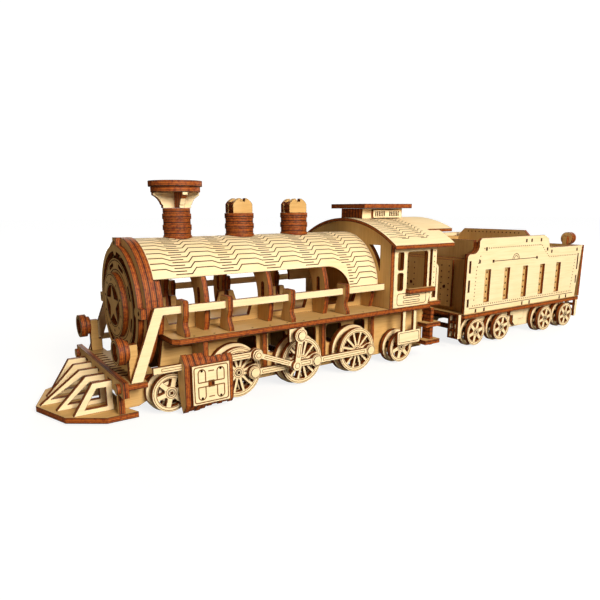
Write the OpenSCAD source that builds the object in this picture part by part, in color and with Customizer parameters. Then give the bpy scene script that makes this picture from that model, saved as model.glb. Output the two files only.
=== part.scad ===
// Wooden 3-D jigsaw model of a steam locomotive with a tender, cut from flat
// plywood sheets that slot and glue together. The nose points along -X, the
// height along +Z, and the model is the same on both sides of the plane Y = 0.
// Distances along the train are measured from the tip of the cowcatcher.

/* [Sheet stock] */
// Thickness of the main plywood sheet
sheet = 3; // [2.6:0.1:3.4]
// Thickness of the thin sheet for rods, rails and bent skins
thin = 2; // [1.6:0.1:2.4]
// Gap between glued or slotted pieces
seam = 0.06; // [0.04:0.01:0.1]
// Radial clearance of a turning shaft in its hole
run_gap = 0.08; // [0.04:0.01:0.1]

/* [Wheels] */
// Radius of a driving wheel over its flange
driver_r = 15.3; // [13:0.1:18.4]
// Radius of a small wheel over its flange
small_r = 11.3; // [9.5:0.1:12.4]
// How far a wheel's outer disc is smaller than its flange disc
tread_step = 1.2; // [0.8:0.1:1.6]
// Distance between driving axles
driver_pitch = 42.5; // [38:0.1:52]
// Distance from the middle to the outer face of the wheels
wheel_out = 40; // [39:0.1:42]
// Radius of the axles
axle_r = 2; // [1.5:0.1:2.4]
// Distance from axle to crank pin
crank_r = 8.6; // [7:0.1:9.4]
// Direction of the cranks at rest, below the level
crank_angle = -5; // [-30:1:30]
// Radius of the crank pins
pin_r = 1.5; // [1.2:0.1:1.8]

/* [Places along the train] */
// Truck axle
truck_x = 58; // [56:0.1:62]
// Truck axle to first driving axle
truck_to_driver = 38.9; // [38:0.1:47]
// Last driving axle to the front of the cab
driver_to_cab = 21.1; // [19:0.1:28]
// Last driving axle to the trailing axle
driver_to_trailer = 39.1; // [36:0.1:44]
// Length of the cab's side walls with the front wall
cab_l = 42; // [38:0.1:52]
// Gap from the cab's rear edge to the tender's side panels
cab_to_tender = 39; // [36:0.1:48]
// Length of the tender's side panels
tender_l = 153; // [140:1:185]

/* [Boiler] */
// Radius of the boiler outside its bent skin
barrel_r = 35; // [31:0.1:36.5]
// Height of the boiler's axis above the running board's top
barrel_up = 12.5; // [12:0.1:16]
// Front of the smokebox door
smoke_x = 43; // [42:0.1:44]
// Half angle of the skin's arch, from the top
skin_half = 63; // [58:1:66]
// Distance between the arched formers
former_pitch = 39.5; // [35:0.1:42]
// First former, under the chimney
chimney_x = 81.8; // [80:0.1:86]

/* [Chimney and domes] */
// Radius of the chimney's stack of rings
stack_r = 8; // [7:0.1:9]
// Number of rings in the chimney
stack_n = 6; // [4:1:7]
// Radius of the chimney's top disc
crown_r = 14.7; // [13:0.1:16]
// Radius of a dome's stack of rings
dome_r = 8.7; // [7.5:0.1:9.5]
// Number of rings in a dome
dome_n = 5; // [3:1:6]

/* [Board, rails and cylinders] */
// Half width of the running board and the cab
board_half = 46; // [45.6:0.1:54]
// Gap from the driving wheels' tops to the board
board_gap = 6.4; // [6:0.1:8]
// Height of the handrail's underside above the board
rail_up = 12; // [11:0.1:14]
// Depth of the handrail strip
rail_h = 4; // [3:0.1:5]
// Number of sheets in a cylinder
cyl_n = 9; // [7:1:9]
// Height of a cylinder
cyl_h = 31; // [28:0.1:32]
// Half width of the buffer beam
beam_half = 45.7; // [44:0.1:48]

/* [Cab] */
// Height of the eaves above the board
eave_up = 40.4; // [36:0.1:48]
// Half width of the roof
roof_half = 51; // [49:0.1:58]
// Rise of the roof's curve
roof_rise = 16.2; // [14:0.1:19]

/* [Tender] */
// Half width of the tender over its side panels
tender_half = 40.5; // [39:0.1:48]
// Height of the side panels
panel_h = 55; // [48:0.1:62]

/* [Hidden] */
$fn = 64;

// Heights
plate_z = 1.1;
plate_top = plate_z + sheet;
board_z = 2 * driver_r + board_gap;
board_top = board_z + sheet;
deck_drop = 19.9;
deck_top = board_top - deck_drop;
deck_z = deck_top - sheet;
beam_low = deck_top - 5.3;
barrel_z = board_top + barrel_up;
crown_z = barrel_z + barrel_r;
rail_z = board_top + rail_up;

// Places along the train, from the nose
lamp_depth = 6;
beam_x = 32;
plate_l = 41.4;
board_x = 58.5;
skin_x = smoke_x + 4 * sheet + seam;
cab_x = driver_x(2) + driver_to_cab;
cab_end = cab_x + cab_l;
skin_end = cab_x - seam;
trailer_x = driver_x(2) + driver_to_trailer;
frame_end = cab_end + 6;
tender_x = cab_end + cab_to_tender;
tender_end = tender_x + tender_l;
hitch_x = tender_x + 7;
overall_l = tender_end + sheet + lamp_depth + seam;
bunker_x = tender_x + 12;
coal_end_x = tender_x + 82;

// Frames and wheels, measured outwards from the middle
flange_in = wheel_out - 3 * sheet;
frame_out = flange_in - 1;
frame_in = frame_out - sheet;
hub_r = 3.6;
rim_w = 2.9;

// Side rods, measured outwards from the wheels' faces
rod_in = wheel_out + 1.2;
rod_out = rod_in + thin;
bar_in = rod_out + 1.4;
bar_out = bar_in + thin;
link_in = bar_out + 0.2;
link_out = link_in + thin;
lever_in = link_out + 0.2;
lever_out = lever_in + thin;
eye_r = 3.9;
small_eye_r = 3.4;
pin_head = 0.8;
rod_w = 3.6;
bar_h = 3.4;

// Cylinders
cyl_x = truck_x + 3.5;
cyl_l = cyl_n * sheet;
cyl_z = cyl_h / 2 + 1;
cyl_in = rod_out + pin_head + 0.3;
cyl_out = cyl_in + 5.5;
cover_w = 20.6;

// The pivots of the crosshead linkage, as (x, z)
crosshead = [driver_x(0) + 7.4, cyl_z + 9.5];
lever_top = [crosshead[0] + 26.9, board_z - 3.5];
lever_foot = [crosshead[0] + 24.3, crosshead[1] - 9.6];
loose_gap = 0.8;

// Headlamps
lamp_r = 6.6;
lamp_y = 36.3;
lamp_z = deck_top + 15.6;

// Roof curve
roof_r = (pow(roof_half, 2) + pow(roof_rise, 2)) / (2 * roof_rise);
eave_z = board_top + eave_up;
roof_mid_z = eave_z + roof_rise - roof_r;
roof_top = eave_z + roof_rise;
roof_in_r = roof_r - thin - seam;
cab_wall_in = board_half - sheet;

// Tender
tender_floor_z = 2 * small_r + 0.8;
tender_floor_top = tender_floor_z + sheet;
panel_z = tender_floor_top + seam;
panel_top = tender_floor_top + panel_h;
shoulder_z = panel_top - 11;
tender_rear_z = panel_top - 10.4;
inner_half = tender_half - thin - seam;
wall_half = inner_half - sheet - seam;
slot_n = 5;
slot_w = 6.5;
slot_pitch = (tender_l - 35.5) / slot_n;

// Axle place of driving wheelset i, from the nose
function driver_x(i) = truck_x + truck_to_driver + i * driver_pitch;
// Place of tender axle i: two pairs
function tender_axle_x(i) = tender_x + 16 + (i % 2) * 31 + (i > 1 ? tender_l - 62 : 0);
// Middle of arched former i
function former_x(i) = chimney_x + i * former_pitch;
// Place of handrail bracket i
function bracket_x(i) = i == 0 ? board_x + 6.5 : former_x(i - 1) + 8;
// Height of the circle of radius r about height z at distance y from the middle
function arc_z(r, z, y) = z + sqrt(r * r - y * y);
// Offset of a crank pin from its axle
crank = [crank_r * cos(crank_angle), crank_r * sin(crank_angle)];

// Colours
birch = "#ead9a4";
birch_shade = "#cfae6c";
char_edge = "#a5561f";

module from_nose() {
    translate([-overall_l / 2, 0, 0]) children();
}

// A sheet across the train; its outline is drawn in Y and Z
module x_plate(x, t = sheet) {
    translate([x, 0, 0]) rotate([90, 0, 90]) linear_extrude(t) children();
}

// A sheet along the train on the left side, between inner and outer distances
// from the middle; its outline is drawn in X and Z
module y_plate(inner, outer) {
    translate([0, -inner, 0]) rotate([90, 0, 0]) linear_extrude(outer - inner) children();
}

// A level sheet; its outline is drawn in X and Y
module z_plate(z, t = sheet) {
    translate([0, 0, z]) linear_extrude(t) children();
}

module both_sides() {
    children();
    mirror([0, 1, 0]) children();
}

// The same on the left or on the right side
module on_side(right) {
    if (right) mirror([0, 1, 0]) children();
    else children();
}

// A rectangle by two opposite corners
module rect(x0, z0, x1, z1) {
    translate([x0, z0]) square([x1 - x0, z1 - z0]);
}

// A rectangle across the middle line
module wide_rect(half, z0, z1) {
    rect(-half, z0, half, z1);
}

// A rectangle with round corners
module round_rect(x0, z0, x1, z1, r) {
    rect(x0 + r, z0, x1 - r, z1);
    rect(x0, z0 + r, x1, z1 - r);
    for (x = [x0 + r, x1 - r], z = [z0 + r, z1 - r]) translate([x, z]) circle(r);
}

// A straight bar of width w from a to b
module strut(a, b, w) {
    run = b - a;
    translate(a) rotate(atan2(run[1], run[0])) translate([0, -w / 2]) square([norm(run), w]);
}

module ring(outer, inner) {
    difference() {
        circle(outer);
        circle(inner);
    }
}

// A dowel along Y on the left side, between two distances from the middle
module dowel(x, z, inner, outer, r) {
    y_plate(inner, outer) translate([x, z]) circle(r);
}

// ---- wheels ----

// Wheel disc with spokes, a hub and the axle's hole
module spoked_disc(r, rim, spokes, spoke_w) {
    difference() {
        circle(r);
        difference() {
            circle(r - rim);
            circle(hub_r);
            for (i = [0 : spokes - 1])
                rotate(i * 360 / spokes + 15) translate([0, -spoke_w / 2]) square([r - rim / 2, spoke_w]);
        }
        circle(axle_r + 0.02);
    }
}

// One wheel on the left: outer disc, hub washer and flange disc
module wheel(x, r, spokes, spoke_w, rim) {
    y_plate(wheel_out - sheet + seam, wheel_out)
        translate([x, r]) spoked_disc(r - tread_step, rim, spokes, spoke_w);
    y_plate(wheel_out - 2 * sheet + seam, wheel_out - sheet)
        translate([x, r]) ring(hub_r + 2, axle_r + 0.02);
    y_plate(flange_in, wheel_out - 2 * sheet)
        translate([x, r]) spoked_disc(r, rim + 0.4, spokes, spoke_w);
}

// Axle through both wheels
module axle(x, z) {
    translate([x, 0, z]) rotate([90, 0, 0])
        cylinder(r = axle_r, h = 2 * wheel_out + 0.8, center = true);
}

// Driving wheelset i with its crank pins
module driver_set(i) {
    x = driver_x(i);
    color(birch) from_nose() {
        both_sides() difference() {
            union() {
                wheel(x, driver_r, 12, 1.5, rim_w);
                y_plate(wheel_out - sheet + seam, wheel_out)
                    translate([x, driver_r] + crank) circle(eye_r);
            }
            dowel(x + crank[0], driver_r + crank[1], wheel_out - sheet, wheel_out + 1, pin_r + 0.02);
        }
        axle(x, driver_r);
        both_sides() crank_pin(x);
    }
}

// Crank pin with the collar behind the rod and the head in front of it
module crank_pin(x) {
    px = x + crank[0];
    pz = driver_r + crank[1];
    dowel(px, pz, wheel_out - sheet + seam, rod_out + pin_head - 0.1, pin_r);
    y_plate(wheel_out, rod_in - run_gap) translate([px, pz]) ring(eye_r - 0.7, pin_r - 0.1);
    dowel(px, pz, rod_out + run_gap, rod_out + pin_head, eye_r - 1.2);
}

module small_set(x) {
    color(birch) from_nose() {
        both_sides() wheel(x, small_r, 6, 2.6, 2.6);
        axle(x, small_r);
    }
}

// ---- frames and front end ----

// Outline of a side frame, in X and Z
module frame_outline() {
    top = board_z - seam;
    x0 = beam_x + sheet + seam;
    polygon([
        [x0, plate_top + seam], [x0 + 9, plate_top + seam], [x0 + 13, 6], [frame_end, 6],
        [frame_end, top], [board_x, top], [board_x - 3.2, deck_z - seam], [x0, deck_z - seam]
    ]);
}

// Openings in a side frame's upper half, between the axles
module frame_windows() {
    for (i = [0, 1], side = [0, 1]) {
        mid = driver_x(i) + driver_pitch / 2;
        x0 = side == 0 ? driver_x(i) + 5 : mid + 4;
        x1 = side == 0 ? mid - 4 : driver_x(i + 1) - 5;
        round_rect(x0, driver_r + 5, x1, board_z - 5, 2);
    }
    round_rect(driver_x(2) + 5, driver_r + 5, spacer_x(3) - 3, board_z - 5, 2);
}

// Place of transverse spacer i
function spacer_x(i) =
    i == 0 ? cyl_x + 13
    : i == 3 ? driver_x(2) + driver_r + 2.3
    : i == 4 ? cab_end - 4
    : driver_x(i - 1) + driver_pitch / 2 - sheet / 2;

module side_frames() {
    color(birch_shade) from_nose() both_sides() y_plate(frame_in, frame_out) difference() {
        frame_outline();
        frame_windows();
        for (i = [0 : 2]) translate([driver_x(i), driver_r]) circle(axle_r + run_gap);
        for (x = [truck_x, trailer_x]) translate([x, small_r]) circle(axle_r + run_gap);
        rect(spacer_x(0) - seam, wing_z - seam, spacer_x(0) + sheet + seam, board_z + 1);
    }
}

// Underside of the wings that carry the cylinders
wing_z = board_z - 13;

module frame_spacers() {
    color(birch_shade) from_nose() {
        for (i = [0 : 4]) x_plate(spacer_x(i)) difference() {
            union() {
                wide_rect(frame_in - seam, 7, board_z - seam);
                if (i == 0) wide_rect(cyl_in - seam, wing_z, board_z - seam);
            }
            translate([0, board_z - 9]) circle(5);
            if (i == 4) wide_rect(7 + seam, drawbar_z - seam, drawbar_z + sheet + seam);
        }
        for (i = [1 : 3]) both_sides() y_plate(frame_out + seam, frame_out + sheet)
            rect(spacer_x(i), 10, spacer_x(i) + sheet, board_z - seam);
    }
}

// Outline of the cowcatcher's plate, in X and Y
module cowcatcher_plate() {
    color(birch) from_nose() z_plate(plate_z) difference() {
        polygon([
            [0, 0], [9, -25.6], [25.8, -37.4], [plate_l, -37.4], [plate_l - 2.5, -31],
            [plate_l - 2.5, 31], [plate_l, 37.4], [25.8, 37.4], [9, 25.6]
        ]);
        rect(beam_x - 10, -9, beam_x + 2, 9);
    }
}

// Longitudinal bars of the cowcatcher: distance from the middle and foot place
bar_spread = 13;
function bar_foot_x(k) = 1.9 + 5.4 * abs(k);

module cowcatcher_bar(k) {
    foot = bar_foot_x(k);
    low = plate_top + seam;
    high = beam_low + 4.7 + seam;
    top_x = beam_x - 9.5;
    rear = beam_x - seam;
    difference() {
        polygon([[foot, low], [top_x, high], [rear, high], [rear, low]]);
        polygon([
            [foot + 5.2, low + 2.4], [top_x + 1.8, high - 3],
            [rear - 3, high - 3], [rear - 3, low + 2.4]
        ]);
    }
}

module cowcatcher_bars() {
    color(birch) from_nose() for (k = [-2 : 2])
        translate([0, k * bar_spread + sheet / 2, 0]) y_plate(0, sheet) cowcatcher_bar(k);
}

module buffer_beam() {
    low = beam_low;
    color(birch_shade) from_nose() {
        x_plate(beam_x) difference() {
            wide_rect(beam_half, low, low + 7.8);
            for (y = [-38, 38]) translate([y, low + 3.9]) circle(1.2);
            for (y = [-24, 0, 24]) wide_slot(y, low + 3.2);
        }
        x_plate(beam_x) for (y = [-37, 34]) rect(y, plate_top + seam, y + sheet, low - seam);
        for (y = [-beam_half + 5, beam_half - 5]) translate([beam_x - 2, y, low + 3.9])
            rotate([0, 90, 0]) cylinder(r = 2.6, h = 2 - seam);
    }
}

// A level slot through the beam
module wide_slot(y, z) {
    rect(y - 4, z, y + 4, z + 1.4);
}

module front_deck() {
    x0 = beam_x + sheet + seam;
    wide_to = truck_x - small_r - 1;
    color(birch_shade) from_nose() z_plate(deck_z) difference() {
        union() {
            rect(x0, -41.4, wide_to, 41.4);
            rect(wide_to - 1, -frame_out, board_x - 3.4, frame_out);
        }
        for (y = [-25 : 5 : 25]) rect(x0 + 1.4, y - 0.8, smoke_x - 1, y + 0.8);
    }
}

module lamp_posts() {
    x0 = beam_x + 6.2;
    color(birch) from_nose() both_sides() y_plate(lamp_y - 1.5, lamp_y + 1.5) {
        rect(x0, deck_top + seam, x0 + 4.6, lamp_z + 3);
        rect(x0, deck_top + seam, x0 + 6.4, deck_top + 7);
    }
}

// Lamp of three stacked discs that faces along X, at (y, z)
module lamp(x, y, z, r) {
    layer = (lamp_depth - seam) / 3;
    translate([0, y, z]) {
        x_plate(x, layer - seam) ring(r, r - 2);
        x_plate(x + layer, layer - seam) circle(r);
        x_plate(x + 2 * layer, layer - seam) circle(r - 1.4);
    }
}

module headlamps() {
    color(char_edge) from_nose()
        for (y = [-lamp_y, lamp_y]) lamp(beam_x + 6.2 - lamp_depth, y, lamp_z, lamp_r);
}

// ---- boiler ----

// Everything above the front deck
module above_deck(z0) {
    intersection() {
        children();
        wide_rect(barrel_r + 10, z0, crown_z + 10);
    }
}

ring_over = 0.8;

module smokebox_rings() {
    color(char_edge) from_nose() {
        x_plate(smoke_x + 2 * sheet, sheet - seam) above_deck(deck_top + seam)
            translate([0, barrel_z]) ring(barrel_r + ring_over, barrel_r - 7);
        x_plate(smoke_x + 3 * sheet, sheet - seam) above_deck(deck_top + seam)
            translate([0, barrel_z]) circle(barrel_r + ring_over);
    }
}

// Outer ring with lugs, and the slotted disc behind the door
module smokebox_front() {
    lug_w = 5.4;
    color(birch_shade) from_nose() {
        x_plate(smoke_x + sheet, sheet - seam) above_deck(deck_top + seam) translate([0, barrel_z]) {
            ring(barrel_r - 3.2, barrel_r - 6.5);
            for (a = [0, 90, 180]) rotate(a) difference() {
                union() {
                    rect(barrel_r - 6, -lug_w / 2, barrel_r + ring_over, lug_w / 2);
                    translate([barrel_r - 6, 0]) circle(lug_w / 2);
                }
                translate([barrel_r - 2, 0]) circle(1.1);
            }
        }
        x_plate(smoke_x + sheet, sheet - seam) translate([0, barrel_z]) difference() {
            circle(barrel_r - 10);
            for (i = [0 : 7]) rotate(i * 45 + 22.5) round_rect(barrel_r - 14.5, -4, barrel_r - 12.5, 4, 0.9);
            circle(1.2);
        }
        x_plate(smoke_x + 2 * sheet, sheet - seam) translate([0, barrel_z]) ring(9, 1.2);
    }
}

// Five-pointed star outline
module star(r) {
    inner = r * 0.42;
    polygon([for (i = [0 : 9]) (i % 2 == 0 ? r : inner) * [sin(i * 36), cos(i * 36)]]);
}

module smokebox_door() {
    door_r = barrel_r / 2;
    color(birch_shade) from_nose() x_plate(smoke_x, sheet - seam) translate([0, barrel_z]) difference() {
        circle(door_r);
        difference() {
            circle(door_r - 6.6);
            star(door_r - 6.2);
        }
        for (i = [0 : 9]) rotate(i * 36 + 18) translate([door_r - 3.6, 0]) circle(0.7);
    }
}

// Half an arched former's outline: under the skin at the top, proud below it
module former_outline(proud) {
    skin_low = barrel_z + barrel_r * cos(skin_half);
    leg = 12;
    translate([0, barrel_z]) difference() {
        union() {
            circle(barrel_r - thin - seam);
            if (proud) intersection() {
                circle(barrel_r + 0.6);
                wide_rect(barrel_r + 2, -barrel_r, skin_low - barrel_z - seam);
            }
        }
        circle(barrel_r - leg);
        wide_rect(barrel_r + 2, -barrel_r - 2, board_top + seam - barrel_z);
        for (s = [-1, 1]) round_rect(s * 28.6 - 1.6, -2, s * 28.6 + 1.6, 10, 1.5);
    }
}

module boiler_formers() {
    color(birch_shade) from_nose() {
        for (i = [0 : 2]) x_plate(former_x(i) - sheet / 2) former_outline(true);
        x_plate(skin_x + 1) former_outline(false);
        x_plate(skin_end - sheet - 1) former_outline(false);
    }
}

// Low strips along the inside of the boiler, with slanted openings
module boiler_side_strips() {
    low = board_top + seam;
    start = skin_x + 1 + sheet + seam;
    stop = skin_end - sheet - 1 - seam;
    starts = concat([start], [for (i = [0 : 2]) former_x(i) + sheet / 2 + seam]);
    stops = concat([for (i = [0 : 2]) former_x(i) - sheet / 2 - seam], [stop]);
    color(birch) from_nose() both_sides() y_plate(20, 20 + sheet)
        for (i = [0 : 3]) difference() {
            rect(starts[i], low, stops[i], low + 11);
            polygon([
                [starts[i] + 6, low + 3], [starts[i] + 3, low + 12],
                [stops[i] - 3, low + 12], [stops[i] - 6, low + 3]
            ]);
        }
}

// Bent sheet over the boiler, with a deeper skirt in front of the cab
module boiler_skin() {
    skin_low = barrel_r * cos(skin_half);
    skirt_x = former_x(2) + sheet / 2 + 2;
    curve = skin_low - 1;
    color(birch) from_nose() difference() {
        x_plate(skin_x, skin_end - skin_x) translate([0, barrel_z]) difference() {
            ring(barrel_r, barrel_r - thin);
            wide_rect(barrel_r + 1, -barrel_r - 1, 0);
        }
        translate([0, 0, barrel_z]) y_plate(-barrel_r - 1, barrel_r + 1) {
            rect(skin_x - 1, -1, skirt_x, skin_low);
            rect(skirt_x - 1, -1, skirt_x + curve, skin_low - curve);
            translate([skirt_x, skin_low - curve]) circle(curve);
        }
    }
}

// How much smaller every second sheet of a stack is
ring_step = 0.45;

// Stack of rings on the boiler's top, saddled on the skin
module ring_stack(x, r, n, hole) {
    foot = crown_z - 2.1;
    difference() {
        for (i = [0 : n - 1]) translate([x, 0, 0])
            z_plate(foot + i * sheet, sheet - seam) ring(r - (i % 2) * ring_step, hole);
        x_plate(x - r - 1, 2 * r + 2) translate([0, barrel_z]) circle(barrel_r + seam);
    }
}

// Height of the top of a stack of n rings
function stack_top(n) = crown_z - 2.1 + n * sheet;

module chimney_rings() {
    color(char_edge) from_nose() ring_stack(chimney_x, stack_r, stack_n, 4);
}

flare_h = 8.4;

// Half outline of a flared fin, in distance from the axis and height
module flare_outline() {
    top_r = crown_r - 1.3;
    difference() {
        wide_rect(top_r, 0, flare_h);
        for (s = [-1, 1]) translate([s * (stack_r + flare_h), -0.6]) circle(flare_h - 0.4);
        for (s = [-1, 1]) rect(s * top_r - 5.2, -1, s * top_r + 5.2, 1.6);
    }
}

module chimney_flare() {
    z0 = stack_top(stack_n);
    color(birch) from_nose() translate([chimney_x, 0, z0]) {
        y_plate(-sheet / 2, sheet / 2) flare_outline();
        x_plate(-sheet / 2) difference() {
            flare_outline();
            wide_rect(sheet / 2 + seam, -1, flare_h + 1);
        }
    }
}

module chimney_crown() {
    z0 = stack_top(stack_n) + flare_h + seam;
    color(char_edge) from_nose() translate([chimney_x, 0, 0]) {
        z_plate(z0, sheet - seam) circle(crown_r - 1.2);
        z_plate(z0 + sheet) ring(crown_r, crown_r - 4);
    }
}

// Arched plate of a dome's cap
module cap_outline() {
    w = dome_r - 2.2;
    difference() {
        union() {
            wide_rect(w, 0, 4.4);
            intersection() {
                wide_rect(w, 4, 8.6);
                translate([0, 1.5]) circle(7.4);
            }
        }
        wide_rect(1.6, 6.8, 9.5);
    }
}

module dome(x) {
    z0 = stack_top(dome_n);
    from_nose() {
        color(char_edge) ring_stack(x, dome_r, dome_n, 3.5);
        color(birch) translate([x, 0, z0]) {
            for (s = [-1, 1]) translate([0, s * 3.4, 0]) y_plate(-sheet / 2, sheet / 2) cap_outline();
            for (s = [-1, 1]) x_plate(s * (dome_r - 3.8) - 1) wide_rect(1.8, 0, 6.4);
        }
    }
}

module front_dome() {
    dome(former_x(1));
}

module rear_dome() {
    dome(former_x(2));
}

// ---- running board, rails, cylinders ----

module running_board() {
    cut = 3;
    color(birch_shade) from_nose() z_plate(board_z) polygon([
        [board_x, -board_half + cut], [board_x + cut, -board_half], [cab_x - seam, -board_half],
        [cab_x - seam, board_half], [board_x + cut, board_half], [board_x, board_half - cut]
    ]);
}

rail_in = board_half - 7;
rail_out = rail_in + thin;

// Handrail strip with the stay down to the front deck
module handrails() {
    x0 = smoke_x + 8.4;
    foot = beam_x + 6;
    top = rail_z + rail_h;
    color(birch) from_nose() both_sides() y_plate(rail_in, rail_out) polygon([
        [x0, top], [cab_x - seam, top], [cab_x - seam, rail_z], [x0 + 4, rail_z],
        [foot + 5.6, deck_top + seam], [foot - 0.4, deck_top + seam]
    ]);
}

// Bracket outline on the left side, in Y and Z, with a window for the rail
module bracket_outline() {
    low = board_top + seam;
    top = rail_z + rail_h;
    difference() {
        polygon([
            [-rail_out - 3, low], [-rail_out - 3.2, low + 2], [-rail_out - 1.2, low + 5],
            [-rail_out - 1, low + 7], [-rail_out - 2.6, rail_z - 1], [-rail_out - 2.6, top + 1.6],
            [-rail_out - 1.6, top + 2.4], [-rail_in + 3.6, top + 2.4], [-rail_in + 4.4, top - 1],
            [-rail_in + 3.4, low + 9], [-rail_in + 5.4, low + 4], [-rail_in + 6, low]
        ]);
        rect(-rail_out - seam, rail_z - seam, -rail_in + seam, top + seam);
    }
}

module rail_brackets() {
    color(birch_shade) from_nose()
        for (i = [0 : 3]) both_sides() x_plate(bracket_x(i)) bracket_outline();
}

// Cross-section of a cylinder sheet on the left, in Y and Z, from its inner side
module cylinder_outline(inner, grow) {
    bulge_r = 28;
    difference() {
        intersection() {
            rect(-cyl_out, cyl_z - cyl_h / 2 - grow, -inner, cyl_z + cyl_h / 2 + grow);
            translate([-cyl_in + 11.8, cyl_z]) circle(cyl_h / 2 + 4.3 + grow);
            translate([-inner - bulge_r, cyl_z]) circle(bulge_r);
        }
        rect(-bar_out - 0.1, crosshead[1] - bar_h / 2 - 0.1, -bar_in + 0.1, crosshead[1] + bar_h / 2 + 0.1);
    }
}

// The sheets in front of the wing that carries the cylinder reach further inwards
module cylinder_stack() {
    wide_n = 4;
    color(char_edge) from_nose() for (i = [0 : cyl_n - 1])
        x_plate(cyl_x + i * sheet, sheet - seam)
            cylinder_outline(i < wide_n ? wheel_out + 1 : cyl_in, i % 2 == 0 ? ring_step : 0);
}

module left_cylinder() {
    cylinder_stack();
}

module right_cylinder() {
    on_side(true) cylinder_stack();
}

module cylinder_covers() {
    mid = cyl_x + cyl_l / 2;
    half = cover_w / 2;
    color(birch) from_nose() both_sides() y_plate(cyl_out + seam, cyl_out + thin) difference() {
        rect(mid - half, cyl_z - half, mid + half, cyl_z + half);
        rect(mid - 1.7, cyl_z - 1.7, mid + 1.7, cyl_z + 1.7);
    }
}

// ---- side rods ----

module coupling_rod() {
    pins = [for (i = [0 : 2]) [driver_x(i), driver_r] + crank];
    color(birch) from_nose() y_plate(rod_in, rod_out) difference() {
        union() {
            strut(pins[0], pins[2], rod_w);
            for (p = pins) translate(p) circle(eye_r);
        }
        for (p = pins) translate(p) circle(pin_r + run_gap);
    }
}

module left_coupling_rod() {
    coupling_rod();
}

module right_coupling_rod() {
    on_side(true) coupling_rod();
}

// Bar that slides through the cylinder, with the crosshead's eye and pin
module piston_bar() {
    color(birch) from_nose() {
        y_plate(bar_in, bar_out) {
            translate(crosshead) circle(small_eye_r);
            rect(cyl_x - 14.5, crosshead[1] - bar_h / 2, crosshead[0], crosshead[1] + bar_h / 2);
        }
        dowel(crosshead[0], crosshead[1], bar_out - 0.1, link_out + 0.2, pin_r);
        dowel(crosshead[0], crosshead[1], link_out + 0.1, link_out + 0.9, small_eye_r - 0.9);
    }
}

module left_piston_bar() {
    piston_bar();
}

module right_piston_bar() {
    on_side(true) piston_bar();
}

// Link from the crosshead down to the foot of the lever, with a loose lower hole
module link() {
    color(birch) from_nose() y_plate(link_in, link_out) difference() {
        union() {
            strut(crosshead, lever_foot, 3);
            translate(crosshead) circle(small_eye_r - 0.2);
            translate(lever_foot) circle(small_eye_r);
        }
        translate(crosshead) circle(pin_r + run_gap);
        translate(lever_foot) circle(pin_r + loose_gap);
    }
}

module left_link() {
    link();
}

module right_link() {
    on_side(true) link();
}

// Lever that hangs under the running board, with the pin at its foot
module lever() {
    color(birch) from_nose() {
        y_plate(lever_in, lever_out) difference() {
            union() {
                strut(lever_top, lever_foot, rod_w);
                translate(lever_top) circle(eye_r + 0.2);
                translate(lever_foot) circle(small_eye_r - 0.5);
            }
            translate(lever_top) circle(pin_r + run_gap);
        }
        dowel(lever_foot[0], lever_foot[1], link_in, lever_in + 0.1, pin_r);
    }
}

module left_lever() {
    lever();
}

module right_lever() {
    on_side(true) lever();
}

// Plates under the board that carry the levers' pins
module lever_hangers() {
    color(birch_shade) from_nose() both_sides() {
        y_plate(bar_in, bar_out - 0.1) rect(
            lever_top[0] - 5, lever_top[1] - 4, lever_top[0] + 5, board_z - seam);
        dowel(lever_top[0], lever_top[1], bar_out - 0.2, lever_out + 0.5, pin_r);
        dowel(lever_top[0], lever_top[1], bar_out - 0.2, lever_in - run_gap, pin_r + 1);
        dowel(lever_top[0], lever_top[1], lever_out + run_gap, lever_out + 1, pin_r + 0.9);
    }
}

// ---- cab ----

module cab_floor() {
    color(birch_shade) from_nose() z_plate(board_z) union() {
        rect(cab_x, -board_half, cab_end - 4, board_half);
        rect(cab_x, -board_half + 5, cab_end + 12, board_half - 5);
    }
}

// Everything under the roof's inner face
module under_roof() {
    intersection() {
        children();
        translate([0, roof_mid_z]) circle(roof_in_r);
    }
}

// Front wall with the boiler in front of it, and the rib at the rear
module cab_cross_walls() {
    low = board_top + seam;
    win_low = barrel_z + 10;
    color(birch_shade) from_nose() {
        x_plate(cab_x) under_roof() difference() {
            wide_rect(board_half, low, roof_top);
            for (s = [-1, 1]) difference() {
                rect(s * 28 - 8, win_low, s * 28 + 8, eave_z - 0.5);
                translate([0, barrel_z]) circle(barrel_r + 2.6);
            }
        }
        x_plate(cab_end - sheet) under_roof() wide_rect(cab_wall_in - seam, eave_z - 2, roof_top);
    }
}

// Side wall outline with its windows, in X and Z
module side_wall_outline() {
    low = board_top + seam;
    top = arc_z(roof_in_r, roof_mid_z, board_half);
    x0 = cab_x + sheet + seam;
    sill = low + 11;
    head = top - 5.6;
    mid = (sill + head) / 2;
    door_x = cab_end - 8.6;
    difference() {
        polygon([
            [x0, low], [cab_end - 7, low], [cab_end - 3.4, sill], [cab_end, sill],
            [cab_end, top], [x0, top]
        ]);
        round_rect(x0 + 3.2, mid + 0.8, x0 + 8.4, head, 1.4);
        round_rect(x0 + 3.2, sill, x0 + 8.4, mid - 0.8, 1.4);
        round_rect(x0 + 11.6, sill, door_x, head, 1.8);
        round_rect(door_x + 2, sill, door_x + 4.4, head + 1, 1);
    }
}

module cab_side_walls() {
    color(birch) from_nose() both_sides() y_plate(cab_wall_in, board_half) side_wall_outline();
}

module window_sills() {
    z = board_top + 9;
    color(char_edge) from_nose() both_sides()
        z_plate(z) rect(cab_x + 14, -board_half - 3.4, cab_end - 3.6, -board_half - seam);
}

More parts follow.
